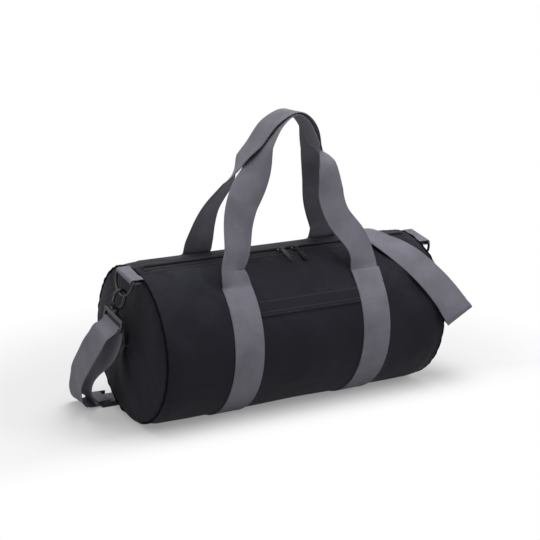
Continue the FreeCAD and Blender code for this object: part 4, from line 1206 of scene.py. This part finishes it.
WHITE = (1, 1, 1, 1)
FLOOR_TONE = 0.55
FLOOR_GLOW = 0.25
FLOOR_HALF = 30.0
FLOOR_DROP = 0.0002
FADE_ROUND = (0.36, 0.70)
FADE_AHEAD = (0.03, 0.17)
SKY = 0.29
SKY_COLOR = (0.97, 0.98, 1.0, 1)
CAMERA_PLACE = (-1.10776, -1.85491, 0.73258)
CAMERA_RIGHT = (0.8593, -0.5114, 0.0)
CAMERA_BACK = (-0.4921, -0.8270, 0.2716)
CAMERA_LENS = 93.29
CAMERA_SHIFT = (-0.0018, 0.0971)


def seen_rays(tree):
    """1 for what the camera, mirrors and clear pieces see."""
    path = node(tree, "ShaderNodeLightPath")
    seen = calc(tree, "MAXIMUM", path.outputs["Is Camera Ray"], path.outputs["Is Glossy Ray"])
    return calc(tree, "MAXIMUM", seen, path.outputs["Is Transmission Ray"])


def make_floor():
    """White floor: it takes the bag's shadow near the bag and is seen as plain white further out."""
    made, tree, shader = material("floor_white", (FLOOR_TONE,) * 3, 0.9, 0.0)
    seen = seen_rays(tree)
    place = node(tree, "ShaderNodeNewGeometry").outputs["Position"]
    far = node(tree, "ShaderNodeVectorMath", {0: place}, operation="LENGTH").outputs["Value"]
    split = node(tree, "ShaderNodeSeparateXYZ", {0: place})
    ahead = calc(tree, "MULTIPLY", split.outputs["Y"], -1.0)
    fades = []
    for value, (low, high) in ((far, FADE_ROUND), (ahead, FADE_AHEAD)):
        sockets = {"Value": value, "From Min": low, "From Max": high}
        fade = node(tree, "ShaderNodeMapRange", sockets, interpolation_type="SMOOTHSTEP")
        fades.append(fade.outputs["Result"])
    white = calc(tree, "MULTIPLY", calc(tree, "MAXIMUM", *fades), seen)
    strength = calc(tree, "MULTIPLY", seen, FLOOR_GLOW)
    glow = node(tree, "ShaderNodeEmission", {"Color": WHITE, "Strength": strength})
    lit = node(tree, "ShaderNodeAddShader", {0: shader.outputs[0], 1: glow.outputs[0]})
    plain = node(tree, "ShaderNodeEmission", {"Color": WHITE, "Strength": 1.0})
    mix = node(tree, "ShaderNodeMixShader", {0: white, 1: lit.outputs[0], 2: plain.outputs[0]})
    feed(tree, tree.nodes["Material Output"], {"Surface": mix.outputs[0]})
    corners = [(-1, -1), (1, -1), (1, 1), (-1, 1)]
    verts = [(a * FLOOR_HALF, b * FLOOR_HALF, -FLOOR_DROP) for a, b in corners]
    add_mesh("floor", verts, [(0, 1, 2, 3)], made)


def make_world():
    world = bpy.data.worlds.new("studio")
    bpy.context.scene.world = world
    world.use_nodes = True
    tree = world.node_tree
    tree.nodes.clear()
    ambient = node(tree, "ShaderNodeBackground", {"Color": SKY_COLOR, "Strength": SKY})
    white = node(tree, "ShaderNodeBackground", {"Color": WHITE, "Strength": 1.0})
    mix = node(tree, "ShaderNodeMixShader", {0: seen_rays(tree), 1: ambient.outputs[0], 2: white.outputs[0]})
    node(tree, "ShaderNodeOutputWorld", {"Surface": mix.outputs[0]})


def softbox(name, place, target, size, power):
    """Wide soft lamp aimed at a point."""
    lamp = bpy.data.lights.new(name, "AREA")
    lamp.shape = "RECTANGLE"
    lamp.size, lamp.size_y = size
    lamp.energy = power
    made = bpy.data.objects.new(name, lamp)
    bpy.context.collection.objects.link(made)
    made.location = place
    aim = Vector(target) - Vector(place)
    made.rotation_mode = "QUATERNION"
    made.rotation_quaternion = aim.to_track_quat("-Z", "Y")


def make_camera():
    data = bpy.data.cameras.new("camera")
    made = bpy.data.objects.new("camera", data)
    bpy.context.collection.objects.link(made)
    right = Vector(CAMERA_RIGHT)
    back = Vector(CAMERA_BACK).normalized()
    up = back.cross(right).normalized()
    right = up.cross(back)
    turn = Matrix((right, up, back)).transposed()
    made.matrix_world = Matrix.Translation(CAMERA_PLACE) @ turn.to_4x4()
    data.sensor_width = 36.0
    data.lens = CAMERA_LENS
    data.shift_x, data.shift_y = CAMERA_SHIFT
    data.clip_start = 0.05
    data.clip_end = 100.0
    bpy.context.scene.camera = made


make_floor()
make_world()
softbox("key", (-1.9, -0.9, 1.7), (0, 0, 0.15), (1.2, 1.2), 8.0)
softbox("top", (0.1, -0.1, 2.35), (0, 0, 0.15), (2.2, 1.6), 52.0)
softbox("side", (1.7, -1.7, 1.5), (0, 0, 0.2), (1.0, 1.4), 19.0)
make_camera()
bpy.context.scene.view_settings.view_transform = "Standard"
